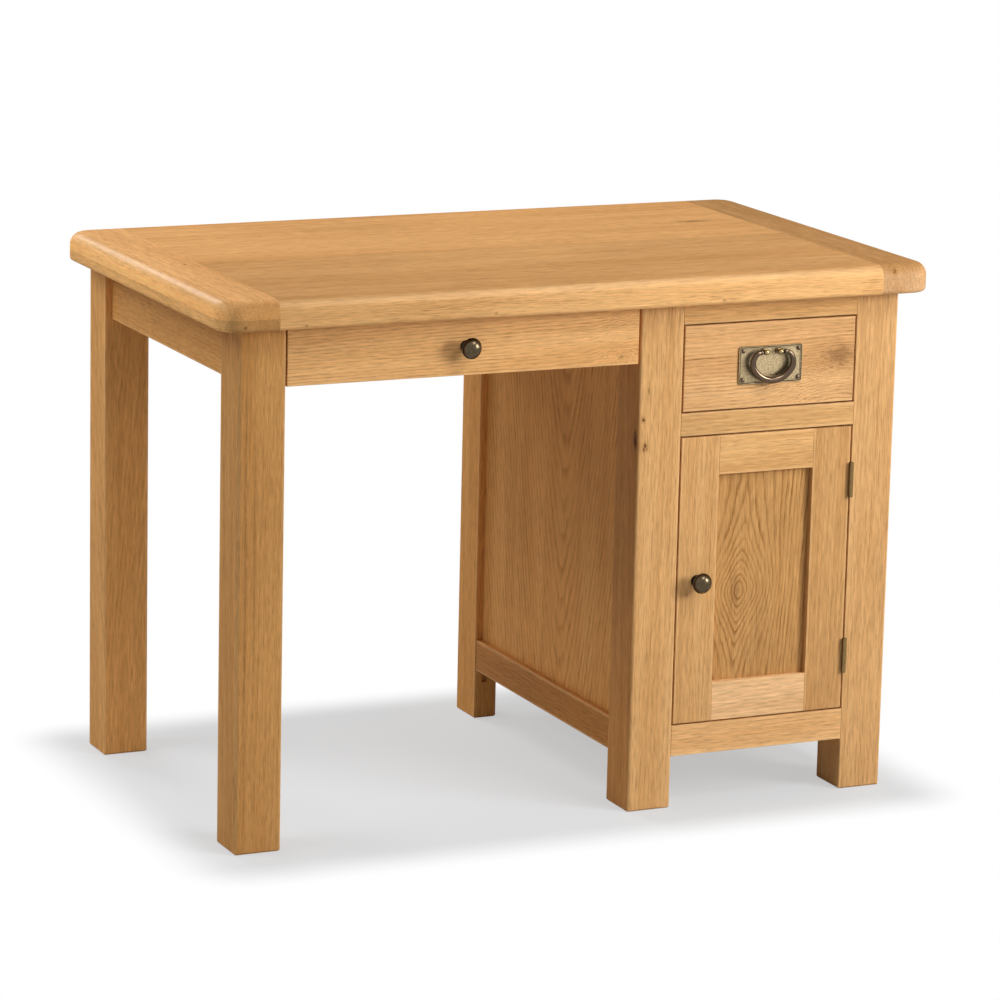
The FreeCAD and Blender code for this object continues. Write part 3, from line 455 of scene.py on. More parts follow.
    def faces(self, graph: Graph, node: str, spot: Value, colour: Value,
              figure: Figure) -> bpy.types.NodeSocket:
        """Paint light or shade on a board's edge or side by a factor of colour, and darken its end grain.

        Args:
            graph: The material's nodes.
            node: The board's name.
            spot: Each point's place from the board's centre.
            colour: The colour of the face.
            figure: The board's figure, with the factor of painted light or shade on the other faces.

        Returns:
            The colour all round.
        """
        places = graph.parts(spot)
        # The edge factor is painted light: a highlight on the top's edges, shade on a leg's side.
        rim = graph.step(places[figure.edge_axis], *figure.edge_band)
        colour = graph.vector("MULTIPLY", colour, graph.mix(rim, WHITE, figure.edge))
        if not figure.end:
            return colour
        left = graph.math("SUBTRACT", box_of(node, figure.grain)[1][2], graph.math("ABSOLUTE", places[2]))
        ended = graph.math("MULTIPLY", graph.step(left, *self.end_band), figure.end)
        return graph.mix(ended, colour, self.brown)

    def staves(self, graph: Graph, spot: Value, figure: Figure,
               seed: int) -> tuple[bpy.types.NodeSocket, Value]:
        """Give each stave of a glued board its own piece of tree and its own tone.

        Args:
            graph: The material's nodes.
            spot: Each point's place from the board's centre.
            figure: How the board was cut.
            seed: The board's number.

        Returns:
            The place in the tree, and the factor of tone.
        """
        if not figure.stave:
            return spot, 1.0
        side = graph.parts(spot)[figure.glue.value]
        count = graph.math("DIVIDE", graph.math("SUBTRACT", side, figure.stave_start), figure.stave)
        number = graph.math("FLOOR", count)
        drawn = graph.chance(graph.math("ADD", number, seed + self.stave_seed))
        reach = tuple(length * figure.stave_shift for length in self.stave_reach)
        shift = graph.vector("MULTIPLY", drawn.outputs["Color"], reach)
        least = 1 - figure.stave_tone / 2
        tone = graph.math("MULTIPLY_ADD", drawn.outputs["Value"], figure.stave_tone, least)
        tone = graph.math("MULTIPLY_ADD", number, figure.stave_rise, tone)
        return graph.vector("ADD", spot, shift), tone

    def knots(self, graph: Graph, node: str, spot: Value, figure: Figure) -> tuple[Value, Value, Value]:
        """Bend the rings round each knot and find its dark core.

        Args:
            graph: The material's nodes.
            node: The board's name.
            spot: Each point's place from the board's centre.
            figure: The board's figure, with its knots.

        Returns:
            How far the rings are pushed, in metres, the share of brown halo and the share of knot colour.
        """
        swirl, halo, core = 0.0, 0.0, 0.0
        if not figure.knots:
            return swirl, halo, core
        middle = Vector(box_of(node, figure.grain)[0])
        ragged = graph.noise(spot, self.ragged).outputs[0]
        for knot in figure.knots:
            place = Vector(figure.grain.order(knot.place)) - middle
            away = graph.vector("SUBTRACT", spot, tuple(place))
            away = graph.vector("MULTIPLY", away, (1.0, 1.0, 1.0 / knot.stretch))
            frayed = knot.radius * self.ragged.gain
            distance = graph.math("MULTIPLY_ADD", ragged, frayed, graph.vector("LENGTH", away))
            near, rim, dark = (graph.step(distance, knot.radius * reach, knot.radius)
                               for reach in (self.swirl_reach, self.halo_reach, self.core_reach))
            swirl = graph.math("MULTIPLY_ADD", near, knot.pull, swirl)
            halo = graph.math("MULTIPLY_ADD", rim, knot.dark * self.halo, halo)
            core = graph.math("MAXIMUM", core, graph.math("MULTIPLY", dark, knot.dark))
        return swirl, halo, core

    def rings(self, graph: Graph, moved: Value, seeded: Value, swirl: Value,
              figure: Figure) -> tuple[bpy.types.NodeSocket, bpy.types.NodeSocket]:
        """Draw the yearly rings.

        Args:
            graph: The material's nodes.
            moved: The place in the tree.
            seeded: The same place, set apart for this board's noise.
            swirl: How far knots push the rings.
            figure: How the board was cut.

        Returns:
            How much of the early wood each point has, and the share of dark dotted lines.
        """
        drift = graph.noise(seeded, self.drift).outputs[1]
        drift = graph.vector("SUBTRACT", drift, (NOISE_MIDDLE,) * 3)
        drift = graph.vector("MULTIPLY", drift, (figure.wobble, figure.wobble, 0.0))
        from_heart = graph.vector("ADD", graph.vector("SUBTRACT", moved, figure.heart), drift)
        across, depth, along = graph.parts(from_heart)
        across = graph.math("MULTIPLY_ADD", along, -figure.lean, across)
        out = graph.vector("LENGTH", graph.whole(across, depth, 0.0))
        out = graph.math("MULTIPLY_ADD", along, figure.taper, out)
        if figure.eye:
            out = graph.math("ADD", out, self.eye(graph, across, along, figure))
        out = graph.math("DIVIDE", graph.math("ADD", out, swirl), figure.pitch)
        ripple = graph.noise(seeded, self.ripples).outputs[0]
        out = graph.math("MULTIPLY_ADD", ripple, self.ripples.gain, out)
        count = graph.sway(seeded, self.jags, out)
        fraction = graph.math("FRACT", count)
        early = graph.math("MAXIMUM", graph.step(fraction, self.early_end, 0.0),
                           graph.step(fraction, self.late_start, 1.0))
        number = graph.math("FLOOR", graph.math("ADD", count, 1.0 - self.late_start))
        drawn = graph.chance(number).outputs["Value"]
        year = graph.math("MULTIPLY_ADD", drawn, 1.0 - self.year_least, self.year_least)
        faint = graph.patches(seeded, self.faint)
        faint = graph.math("MULTIPLY_ADD", faint, 1.0 - self.faint_least, self.faint_least)
        dashes = graph.patches(seeded, self.dashes)
        dashes = graph.math("MULTIPLY_ADD", dashes, 1.0 - self.dash_least, self.dash_least)
        lines = graph.math("MULTIPLY", early, dashes)
        lines = graph.math("MULTIPLY", lines, graph.math("MULTIPLY", faint, year))
        return early, graph.math("MULTIPLY", lines, figure.contrast)

    def eye(self, graph: Graph, across: Value, along: Value, figure: Figure) -> bpy.types.NodeSocket:
        """Swell the rings round the heart.

        Args:
            graph: The material's nodes.
            across: The distance from the heart across the face.
            along: The distance from the heart along the fibres.
            figure: How the board was cut, with the eye's sizes.

        Returns:
            What the swelling adds to the distance from the heart.
        """
        rounded = graph.math("SQRT", graph.math("MULTIPLY_ADD", along, along, figure.eye_round ** 2))
        rounded = graph.math("SUBTRACT", rounded, figure.eye_round)
        rise = graph.math("TANH", graph.math("DIVIDE", rounded, figure.eye_length))
        wide = graph.math("DIVIDE", across, figure.eye_width)
        fade = graph.math("EXPONENT", graph.math("MULTIPLY", graph.math("MULTIPLY", wide, wide), -1.0))
        return graph.math("MULTIPLY", graph.math("MULTIPLY", rise, fade), figure.eye)


class SharedFinish:
    """A finish whose pieces all share one material."""

    name: str

    def material(self) -> bpy.types.Material:
        """Make the finish at its first use.

        Returns:
            The material that all its pieces share.
        """
        made = bpy.data.materials.get(self.name)
        if made:
            return made
        graph = Graph(bpy.data.materials.new(self.name))
        place = graph.node("ShaderNodeTexCoord", {}).outputs["Object"]
        return graph.finish(self.shader(graph, place))

    def shader(self, graph: Graph, place: Value) -> bpy.types.NodeSocket:
        """Return the shader, which each kind of finish draws in its own way."""
        raise NotImplementedError


@dataclass(frozen=True)
class AgedMetal(SharedFinish):
    """Antiqued metal: dull or rubbed patches, darkened near other surfaces as patina and painted shade."""

    name: str
    rubbed: Colour
    dull: Colour
    hollow: Colour = (0.030, 0.020, 0.012)
    roughness: float = 0.32
    mottle: float = 600.0
    mottle_detail: float = 4.0
    mottle_edges: Pair = (0.20, 0.80)
    mottle_rough: float = 0.16
    grit: float = 2400.0
    bump: float = 0.04
    bump_depth: float = 0.0002
    reach: float = 0.0024
    reach_edges: Pair = (0.92, 0.35)
    reach_samples: int = 8

    def shader(self, graph: Graph, place: Value) -> bpy.types.NodeSocket:
        """Draw the finish.

        Args:
            graph: The material's nodes.
            place: Each point's place on the desk.

        Returns:
            The shader.
        """
        cloud = graph.noise(place, Layer((self.mottle,) * 3, self.mottle_detail)).outputs[0]
        fine = graph.noise(place, Layer((self.grit,) * 3)).outputs[0]
        sky = graph.node("ShaderNodeAmbientOcclusion", {"Distance": self.reach}, samples=self.reach_samples)
        colour = graph.mix(graph.step(cloud, *self.mottle_edges), self.dull, self.rubbed)
        # Dark near other surfaces: patina in the hollows, and painted shade where the reach is long.
        colour = graph.mix(graph.step(sky.outputs["AO"], *self.reach_edges), colour, self.hollow)
        rough = graph.math("MULTIPLY_ADD", cloud, self.mottle_rough, self.roughness - self.mottle_rough / 2)
        normal = graph.bump(self.bump, self.bump_depth, graph.math("ADD", cloud, fine))
        inputs = {"Base Color": colour, "Metallic": 1.0, "Roughness": rough, "Normal": normal}
        return graph.node("ShaderNodeBsdfPrincipled", inputs).outputs[0]


@dataclass(frozen=True)
class Plain(SharedFinish):
    """A plain worked surface with faint mottling: zinc-plated steel or moulded plastic."""

    name: str
    colour: Colour
    metallic: float
    roughness: float
    mottle: float = 400.0
    mottle_detail: float = 3.0
    spread: float = 0.12
    bump: float = 0.15
    bump_depth: float = 0.0002

    def shader(self, graph: Graph, place: Value) -> bpy.types.NodeSocket:
        """Draw the finish.

        Args:
            graph: The material's nodes.
            place: Each point's place on the desk.

        Returns:
            The shader.
        """
        cloud = graph.noise(place, Layer((self.mottle,) * 3, self.mottle_detail)).outputs[0]
        shade = graph.math("MULTIPLY_ADD", cloud, self.spread * 2, 1 - self.spread)
        return graph.node("ShaderNodeBsdfPrincipled", {
            "Base Color": graph.vector("MULTIPLY", self.colour, shade), "Metallic": self.metallic,
            "Roughness": graph.math("MULTIPLY_ADD", cloud, self.spread, self.roughness),
            "Normal": graph.bump(self.bump, self.bump_depth, cloud)}).outputs[0]


OAK = Wood("oak")
POLISHED_OAK = Wood("polished_oak", coat=0.04, burnish=0.5)
LINING = Wood("lining", pale=(0.74, 0.52, 0.30), honey=(0.68, 0.45, 0.24), roughness=0.55, coat=0.0)
BRASS = AgedMetal(
    "aged_plate_brass", rubbed=(0.54, 0.415, 0.24), dull=(0.25, 0.185, 0.10), roughness=0.36, mottle=480.0,
    mottle_edges=(0.30, 0.70), bump=0.09, reach=0.0030, reach_edges=(0.97, 0.55))
GOLD = AgedMetal(
    "aged_post_brass", rubbed=(0.40, 0.30, 0.145), dull=(0.24, 0.175, 0.08), roughness=0.25, reach=0.008)
# Its long reach paints shade on the bail and the nails.
BRONZE = AgedMetal(
    "aged_bail_bronze", rubbed=(0.150, 0.104, 0.069), dull=(0.080, 0.054, 0.035), roughness=0.20,
    mottle=900.0, reach=0.016, reach_edges=(0.98, 0.45))
HINGE_BRASS = AgedMetal(
    "aged_hinge_brass", rubbed=(0.31, 0.205, 0.086), dull=(0.150, 0.098, 0.040), reach=0.006,
    reach_edges=(0.97, 0.50))
# Its long reach paints shade on the knobs.
PEWTER = AgedMetal(
    "aged_knob_pewter", rubbed=(0.118, 0.086, 0.051), dull=(0.070, 0.051, 0.030), roughness=0.24,
    mottle=300.0, bump=0.02, reach=0.030, reach_edges=(0.98, 0.50))
STEEL = Plain("zinc_plated_steel", colour=(0.58, 0.57, 0.54), metallic=1.0, roughness=0.35)
CASE = Plain("brown_plastic", colour=(0.12, 0.07, 0.04), metallic=0.0, roughness=0.5)

UPRIGHT = Figure(Grain.FRONT_UPRIGHT)
FRONT = Figure(Grain.FRONT_LONG)
SIDE = Figure(Grain.SIDE_LONG)
FLAT = Figure(Grain.TOP_LONG, stave=0.12)


def dress(piece: bpy.types.Object, material: bpy.types.Material) -> None:
    """Give a piece one material all over."""
    piece.data.materials.clear()
    piece.data.materials.append(material)


def select_only(piece: bpy.types.Object) -> None:
    """Select one piece alone and make it the active one.

    Args:
        piece: The piece.
    """
    bpy.ops.object.select_all(action="DESELECT")
    piece.select_set(True)
    bpy.context.view_layer.objects.active = piece


def pick(piece: bpy.types.Object, kind: str, test: Callable[[Vector], bool]) -> None:
    """Select, in edit mode, the edges or faces whose middle passes a test.

    Args:
        piece: The piece being modelled.
        kind: EDGE or FACE.
        test: Says yes to a middle, given from the piece's own origin.
    """
    bpy.ops.object.mode_set(mode="EDIT")
    bpy.ops.mesh.select_mode(type=kind)
    bpy.ops.mesh.select_all(action="DESELECT")
    bpy.ops.object.mode_set(mode="OBJECT")
    mesh = piece.data
    for part in mesh.edges if kind == "EDGE" else mesh.polygons:
        corners = [mesh.vertices[index].co for index in part.vertices]
        part.select = test(sum(corners, Vector()) / len(corners))
    bpy.ops.object.mode_set(mode="EDIT")


def begin(name: str) -> bpy.types.Object:
    """Take the primitive just added into edit mode with all of it selected.

    Args:
        name: The new piece's name.

    Returns:
        The new piece.
    """
    piece = bpy.context.object
    piece.name = name
    bpy.ops.object.mode_set(mode="EDIT")
    bpy.ops.mesh.select_mode(type="VERT")
    bpy.ops.mesh.select_all(action="SELECT")
    return piece


def close(piece: bpy.types.Object, crease: float) -> bpy.types.Object:
    """Leave edit mode with a clean mesh at the desk's origin.

    Args:
        piece: The piece being modelled.
        crease: Edges that bend by more than this stay sharp, in radians.

    Returns:
        The same piece.
    """
    bpy.ops.object.mode_set(mode="EDIT")
    bpy.ops.mesh.select_all(action="SELECT")
    bpy.ops.mesh.remove_doubles(threshold=MERGE_WITHIN)
    bpy.ops.mesh.normals_make_consistent(inside=False)
    bpy.ops.object.mode_set(mode="OBJECT")
    select_only(piece)
    bpy.ops.object.transform_apply(location=True, rotation=True, scale=True)
    bpy.ops.object.shade_smooth_by_angle(angle=crease)
    return piece


def copied(piece: bpy.types.Object, name: str, move: Point) -> bpy.types.Object:
    """Copy a finished piece with its mesh and move the copy.

    Args:
        piece: The piece that was modelled.
        name: The copy's name.
        move: How far the copy goes, in metres.

    Returns:
        The copy.
    """
    select_only(piece)
    bpy.ops.object.duplicate(linked=False)
    copy = bpy.context.object
    copy.name = name
    copy.location = move
    bpy.ops.object.transform_apply(location=True, rotation=False, scale=False)
    return copy


def arc(centre: Pair, radii: Pair, angles: Pair, steps: int) -> list[Pair]:
    """Return points along a part of an ellipse.

    Args:
        centre: The middle of the ellipse.
        radii: Its half sizes along the outline's axes, the first one negative to start opposite.
        angles: Where the arc starts and ends, in degrees from the outline's first axis.
        steps: How many stretches it has.

    Returns:
        The points, with both ends.
    """
    start, end = (math.radians(angle) for angle in angles)
    turns = [start + (end - start) * step / steps for step in range(steps + 1)]
    return [(centre[0] + radii[0] * math.cos(turn), centre[1] + radii[1] * math.sin(turn))
            for turn in turns]


def turned(name: str, outline: list[Pair], place: Point, steps: int) -> bpy.types.Object:
    """Turn an outline round an axis that points out of the desk's front.

    Args:
        name: The piece's name.
        outline: Pairs of radius and reach out of the front, in metres.
        place: Where the axis leaves the front.
        steps: How many faces go round.

    Returns:
        The turned piece.
    """
    bpy.ops.object.select_all(action="DESELECT")
    bpy.ops.mesh.primitive_plane_add(size=outline[-1][1], location=place)
    piece = begin(name)
    bpy.ops.mesh.merge(type="CENTER")
    radius, reach = outline[0]
    bpy.ops.transform.translate(value=(radius, -reach, 0.0))
    for (radius, reach), (next_radius, next_reach) in pairwise(outline):
        move = (next_radius - radius, reach - next_reach, 0.0)
        bpy.ops.mesh.extrude_region_move(TRANSFORM_OT_translate={"value": move})
    bpy.ops.mesh.select_all(action="SELECT")
    bpy.ops.mesh.spin(steps=steps, angle=math.tau, center=place, axis=(0.0, 1.0, 0.0))
    return close(piece, TURNED_CREASE)


class SubAssembly:
    """Pieces of the desk that are made and finished together."""

    def board(self, node: str, figure: Figure, wood: Wood = OAK) -> None:
        """Dress a board that keeps its solid."""
        dress(frame["nodes"][node], wood.material(node, figure))
        LOG.info("%s: %s dressed", type(self).__name__, node)

    def fitting(self, node: str, finish: SharedFinish) -> None:
        """Dress a fitting that keeps its solid."""
        dress(frame["nodes"][node], finish.material())
        LOG.info("%s: %s dressed", type(self).__name__, node)

    def install(self, piece: bpy.types.Object, node: str, body: str, finish: SharedFinish) -> None:
        """Let a modelled fitting take the place of a solid and move with its body.

        Args:
            piece: The modelled fitting.
            node: The solid that it stands for.
            body: The body that carries it.
            finish: What it is dressed in.
        """
        dress(piece, finish.material())
        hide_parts(node)
        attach(piece, body)
        LOG.info("%s: %s modelled in place of %s", type(self).__name__, piece.name, node)


@dataclass(frozen=True)
class Top(SubAssembly):
    """The top: a field of glued boards between two cross-grain ends."""

    # The edge factors paint highlights on the rounded edges and ends of the top.
    panel: Figure = Figure(
        Grain.TOP_LONG, stave=0.324, stave_start=-0.01, stave_tone=0.0, stave_rise=0.13, contrast=0.36,
        wobble=0.03, pitch=0.010, tint=(0.87, 0.82, 0.81), edge=(1.51, 1.60, 1.70),
        edge_band=(0.0205, 0.0090), arris=0.014, arris_sides=(0.0, 1.0), knots=(
            Knot(on_top(384, 124), radius=0.0072, stretch=4.3, dark=0.55, pull=0.0),
            Knot(on_edge(-426, 747), radius=0.0012, stretch=1.5, dark=0.7),
            Knot(on_edge(-145, 749), radius=0.0010, stretch=1.5, dark=0.7),
            Knot(on_edge(208, 748.5), radius=0.0012, stretch=1.5, dark=0.8)))
    end_left: Figure = Figure(
        Grain.TOP_CROSS, contrast=0.22, tint=(0.96, 0.92, 0.96), edge=(1.65, 1.67, 1.56), end=0.5,
        arris=0.014, arris_sides=(-1.0, 1.0), stave=0.05, stave_start=-0.0042, stave_tone=0.0,
        stave_rise=0.24, glue=Glue.DEEP, knots=(
            Knot(on_top(-486, -17), radius=0.0014, stretch=2.0, dark=0.7),
            Knot(on_edge(-514, 749), radius=0.0025, stretch=1.5, dark=0.6)))
    end_right: Figure = Figure(
        Grain.TOP_CROSS, contrast=0.30, tint=(0.60, 0.55, 0.52), edge=(1.46, 1.67, 2.24), arris=0.014,
        arris_sides=(1.0, 1.0), knots=(
            Knot(millimetres(482, -323, 775), radius=0.0022, stretch=1.5, dark=0.95),
            Knot(millimetres(484, -322, 777.5), radius=0.0020, stretch=1.5, dark=0.95)))

    def build(self) -> None:
        """Dress the field, both ends and the screws that hold them."""
        for part in fields(self):
            self.board(f"top_{part.name}", getattr(self, part.name), POLISHED_OAK)
        self.fitting("top_screws", STEEL)


@dataclass(frozen=True)
class Legs(SubAssembly):
    """The six legs."""

    front_left: Figure = Figure(
        Grain.FRONT_UPRIGHT, stain=0.40, tint=(0.90, 0.82, 0.71), knots=(
            Knot(on_front(-498, 400), radius=0.0020, stretch=150.0, dark=0.30, pull=0.0),
            Knot(on_front(-485, 420), radius=0.0015, stretch=150.0, dark=0.26, pull=0.0)))
    back_left: Figure = Figure(Grain.FRONT_UPRIGHT, stain=0.30, taper=0.10, tint=(1.03, 0.94, 0.82))
    # Its edge factor paints shade on the leg's left side, in the knee space.
    pedestal_front_left: Figure = Figure(
        Grain.FRONT_UPRIGHT, tint=(1.05, 1.07, 1.15), edge=(0.77, 0.65, 0.53), edge_axis=0,
        edge_band=(-0.0305, -0.0335), knots=(
            Knot(millimetres(95, -282.1, 547.1), radius=0.0052, stretch=3.0, dark=0.95),
            Knot(on_front(102.7, 577), radius=0.0017, stretch=1.5, dark=0.9),
            Knot(on_front(105.2, 576), radius=0.0009, stretch=1.5, dark=0.8),
            Knot(on_front(107.2, 539), radius=0.0021, stretch=1.5, dark=0.95),
            Knot(on_front(104.6, 533.5), radius=0.0014, stretch=2.0, dark=0.8),
            Knot(on_front(110, 534), radius=0.0012, stretch=2.0, dark=0.8),
            Knot(on_front(110.8, 619.7), radius=0.0011, stretch=8.0, dark=0.8, pull=0.0)))
    pedestal_front_right: Figure = Figure(
        Grain.FRONT_UPRIGHT, tint=(0.96, 0.96, 1.03), stave=0.023, glue=Glue.DEEP)
    pedestal_back_left: Figure = Figure(Grain.FRONT_UPRIGHT, tint=(1.02, 0.90, 0.74))
    pedestal_back_right: Figure = UPRIGHT

    def build(self) -> None:
        """Dress every leg."""
        for part in fields(self):
            self.board(f"leg_{part.name}", getattr(self, part.name))


@dataclass(frozen=True)
class Pedestal(SubAssembly):
    """The pedestal between its legs: framed sides and back, front rails, floor and running gear."""

    # Its tint partly paints the shade of the knee space.
    side_panel_left: Figure = Figure(
        Grain.SIDE_UPRIGHT, heart=(-0.042, 0.030, 0.0), taper=-0.21, pitch=0.010, wobble=0.012,
        contrast=0.95, tint=(1.0, 0.885, 0.73), stave=0.085, stave_start=-0.09, stave_shift=0.0)
    side_panel_right: Figure = Figure(
        Grain.SIDE_UPRIGHT, heart=(0.03, 0.030, 0.0), taper=0.16, pitch=0.010, wobble=0.018, contrast=0.80,
        stave=0.085, stave_shift=0.0)
    back_panel: Figure = Figure(
        Grain.FRONT_UPRIGHT, heart=(0.02, 0.030, 0.0), taper=0.16, pitch=0.010, wobble=0.018, contrast=0.80,
        stave=0.1, stave_shift=0.0)
    side_rail_low_left: Figure = Figure(Grain.SIDE_LONG, tint=(0.68, 0.55, 0.44))
    side_rail_high_left: Figure = SIDE
    side_rail_low_right: Figure = SIDE
    side_rail_high_right: Figure = SIDE
    back_rail_low: Figure = FRONT
    back_rail_high: Figure = FRONT
    front_rail_low: Figure = Figure(Grain.FRONT_LONG, tint=(1.15, 1.19, 1.37))
    front_rail_middle: Figure = Figure(Grain.FRONT_LONG, tint=(1.0, 1.06, 1.18))
    front_rail_high: Figure = Figure(Grain.FRONT_LONG, tint=(1.04, 1.06, 1.12))

    def build(self) -> None:
        """Dress the boards, the inside, the catch and the hinges' halves on the leg."""
        for part in fields(self):
            self.board(part.name, getattr(self, part.name))
        for node, figure in (("drawer_kickers", SIDE), ("drawer_runners", SIDE), ("drawer_stops", FRONT),
                             ("cupboard_floor", FLAT)):
            self.board(node, figure, LINING)
        self.fitting("catch_body", CASE)
        for node in ("hinge_frame_leaves", "hinge_frame_screws", "hinge_pins"):
            self.fitting(node, HINGE_BRASS)


@dataclass(frozen=True)
class KneeSpace(SubAssembly):
    """What spans the knee space: the aprons and the strips that carry the drawer."""

    apron_left: Figure = Figure(Grain.SIDE_LONG, tint=(0.98, 0.87, 0.72))
    apron_back: Figure = FRONT

    def build(self) -> None:
        """Dress the aprons and the strips."""
        for part in fields(self):
            self.board(part.name, getattr(self, part.name))
        self.board("knee_runners", SIDE, LINING)


@dataclass(frozen=True)
class Drawer(SubAssembly):
    """A dovetailed drawer: a show front and a plain box."""

    name: str
    front: Figure
    side: Figure = SIDE
    back: Figure = FRONT
    bottom: Figure = FLAT

    def build(self) -> None:
        """Dress the front and the box."""
        self.board(f"{self.name}_front", self.front)
        for part, figure in (("side_left", self.side), ("side_right", self.side), ("back", self.back),
                             ("bottom", self.bottom)):
            self.board(f"{self.name}_{part}", figure, LINING)


@dataclass(frozen=True)
class Door(SubAssembly):
    """The cupboard door: a framed panel that hangs on two butt hinges."""

    panel: Figure = Figure(
        Grain.FRONT_UPRIGHT, heart=(-0.033, 0.003, -0.022), taper=0.0, lean=0.06, eye=0.040, pitch=0.0052,
        wobble=0.011, contrast=1.25, tint=(0.79, 0.75, 0.70), knots=(
            Knot(millimetres(264, -281, 313), radius=0.009, stretch=2.6, dark=0.26, pull=0.0),))
    stile_left: Figure = Figure(Grain.FRONT_UPRIGHT, tint=(0.97, 0.97, 1.02))
    stile_right: Figure = Figure(Grain.FRONT_UPRIGHT, tint=(0.85, 0.82, 0.82))
    rail_high: Figure = Figure(Grain.FRONT_LONG, tint=(1.03, 1.05, 1.12))
    rail_low: Figure = Figure(Grain.FRONT_LONG, tint=(1.24, 1.37, 1.80))

    def build(self) -> None:
        """Dress the frame, the panel, the hinges' halves on the door and the catch's plate."""
        for part in fields(self):
            self.board(f"door_{part.name}", getattr(self, part.name))
        for node in ("hinge_door_leaves", "hinge_door_screws"):
            self.fitting(node, HINGE_BRASS)
        self.fitting("catch_strike", STEEL)


@dataclass(frozen=True)
class Knobs(SubAssembly):
    """Two cast knobs: a foot ring, a waisted neck, a flared underside, a rim and a low dome."""

    knee_drawer: Point
    door: Point
    foot_radius: float = 0.009
    foot_depth: float = 0.0025
    foot_round: float = 0.00075
    neck_radius: float = 0.0048
    neck_low: float = 0.00275
    neck_high: float = 0.004
    flare_low: float = 0.0075
    head_radius: float = 0.015
    rim_low: float = 0.017
    rim_round: float = 0.0013
    rim_end: float = 60.0
    dome_lift: float = 0.00078
    height: float = 0.028
    foot_steps: int = 4
    flare_steps: int = 8
    rim_steps: int = 6
    dome_steps: int = 12
    round_steps: int = 48

    def build(self) -> None:
        """Turn one knob, copy it, and fix both with their screws."""
        first = turned("cast_knee_drawer_knob", self.outline(), self.knee_drawer, self.round_steps)
        second = copied(first, "cast_door_knob", tuple(Vector(self.door) - Vector(self.knee_drawer)))
        for piece, body in ((first, "knee_drawer"), (second, "door")):
            self.install(piece, f"{body}_knob", body, PEWTER)
            self.fitting(f"{body}_knob_screw", STEEL)

    def outline(self) -> list[Pair]:
        """Draw half of the knob's section.

        Returns:
            Pairs of radius and reach, from the axis at the foot to the top of the dome.
        """
        shoulder = self.head_radius - self.rim_round
        flare = (self.neck_radius - shoulder, self.rim_low - self.flare_low)
        rim_middle = self.rim_low + self.rim_round
        dome_low = rim_middle + self.dome_lift
        quarter = (0.0, QUARTER_TURN)
        line = [(0.0, 0.0), (self.foot_radius, 0.0)]
        line += arc((self.foot_radius - self.foot_round, self.foot_depth - self.foot_round),
                    (self.foot_round, self.foot_round), quarter, self.foot_steps)
        line += [(self.neck_radius + self.foot_round, self.neck_low), (self.neck_radius, self.neck_high)]
        line += arc((shoulder, self.flare_low), flare, quarter, self.flare_steps)
        line += arc((shoulder, rim_middle), (self.rim_round, self.rim_round), (-QUARTER_TURN, self.rim_end),
                    self.rim_steps)
        line += arc((0.0, dome_low), (shoulder, self.height - dome_low), quarter, self.dome_steps)[:-1]
        return [*line, (0.0, self.height)]


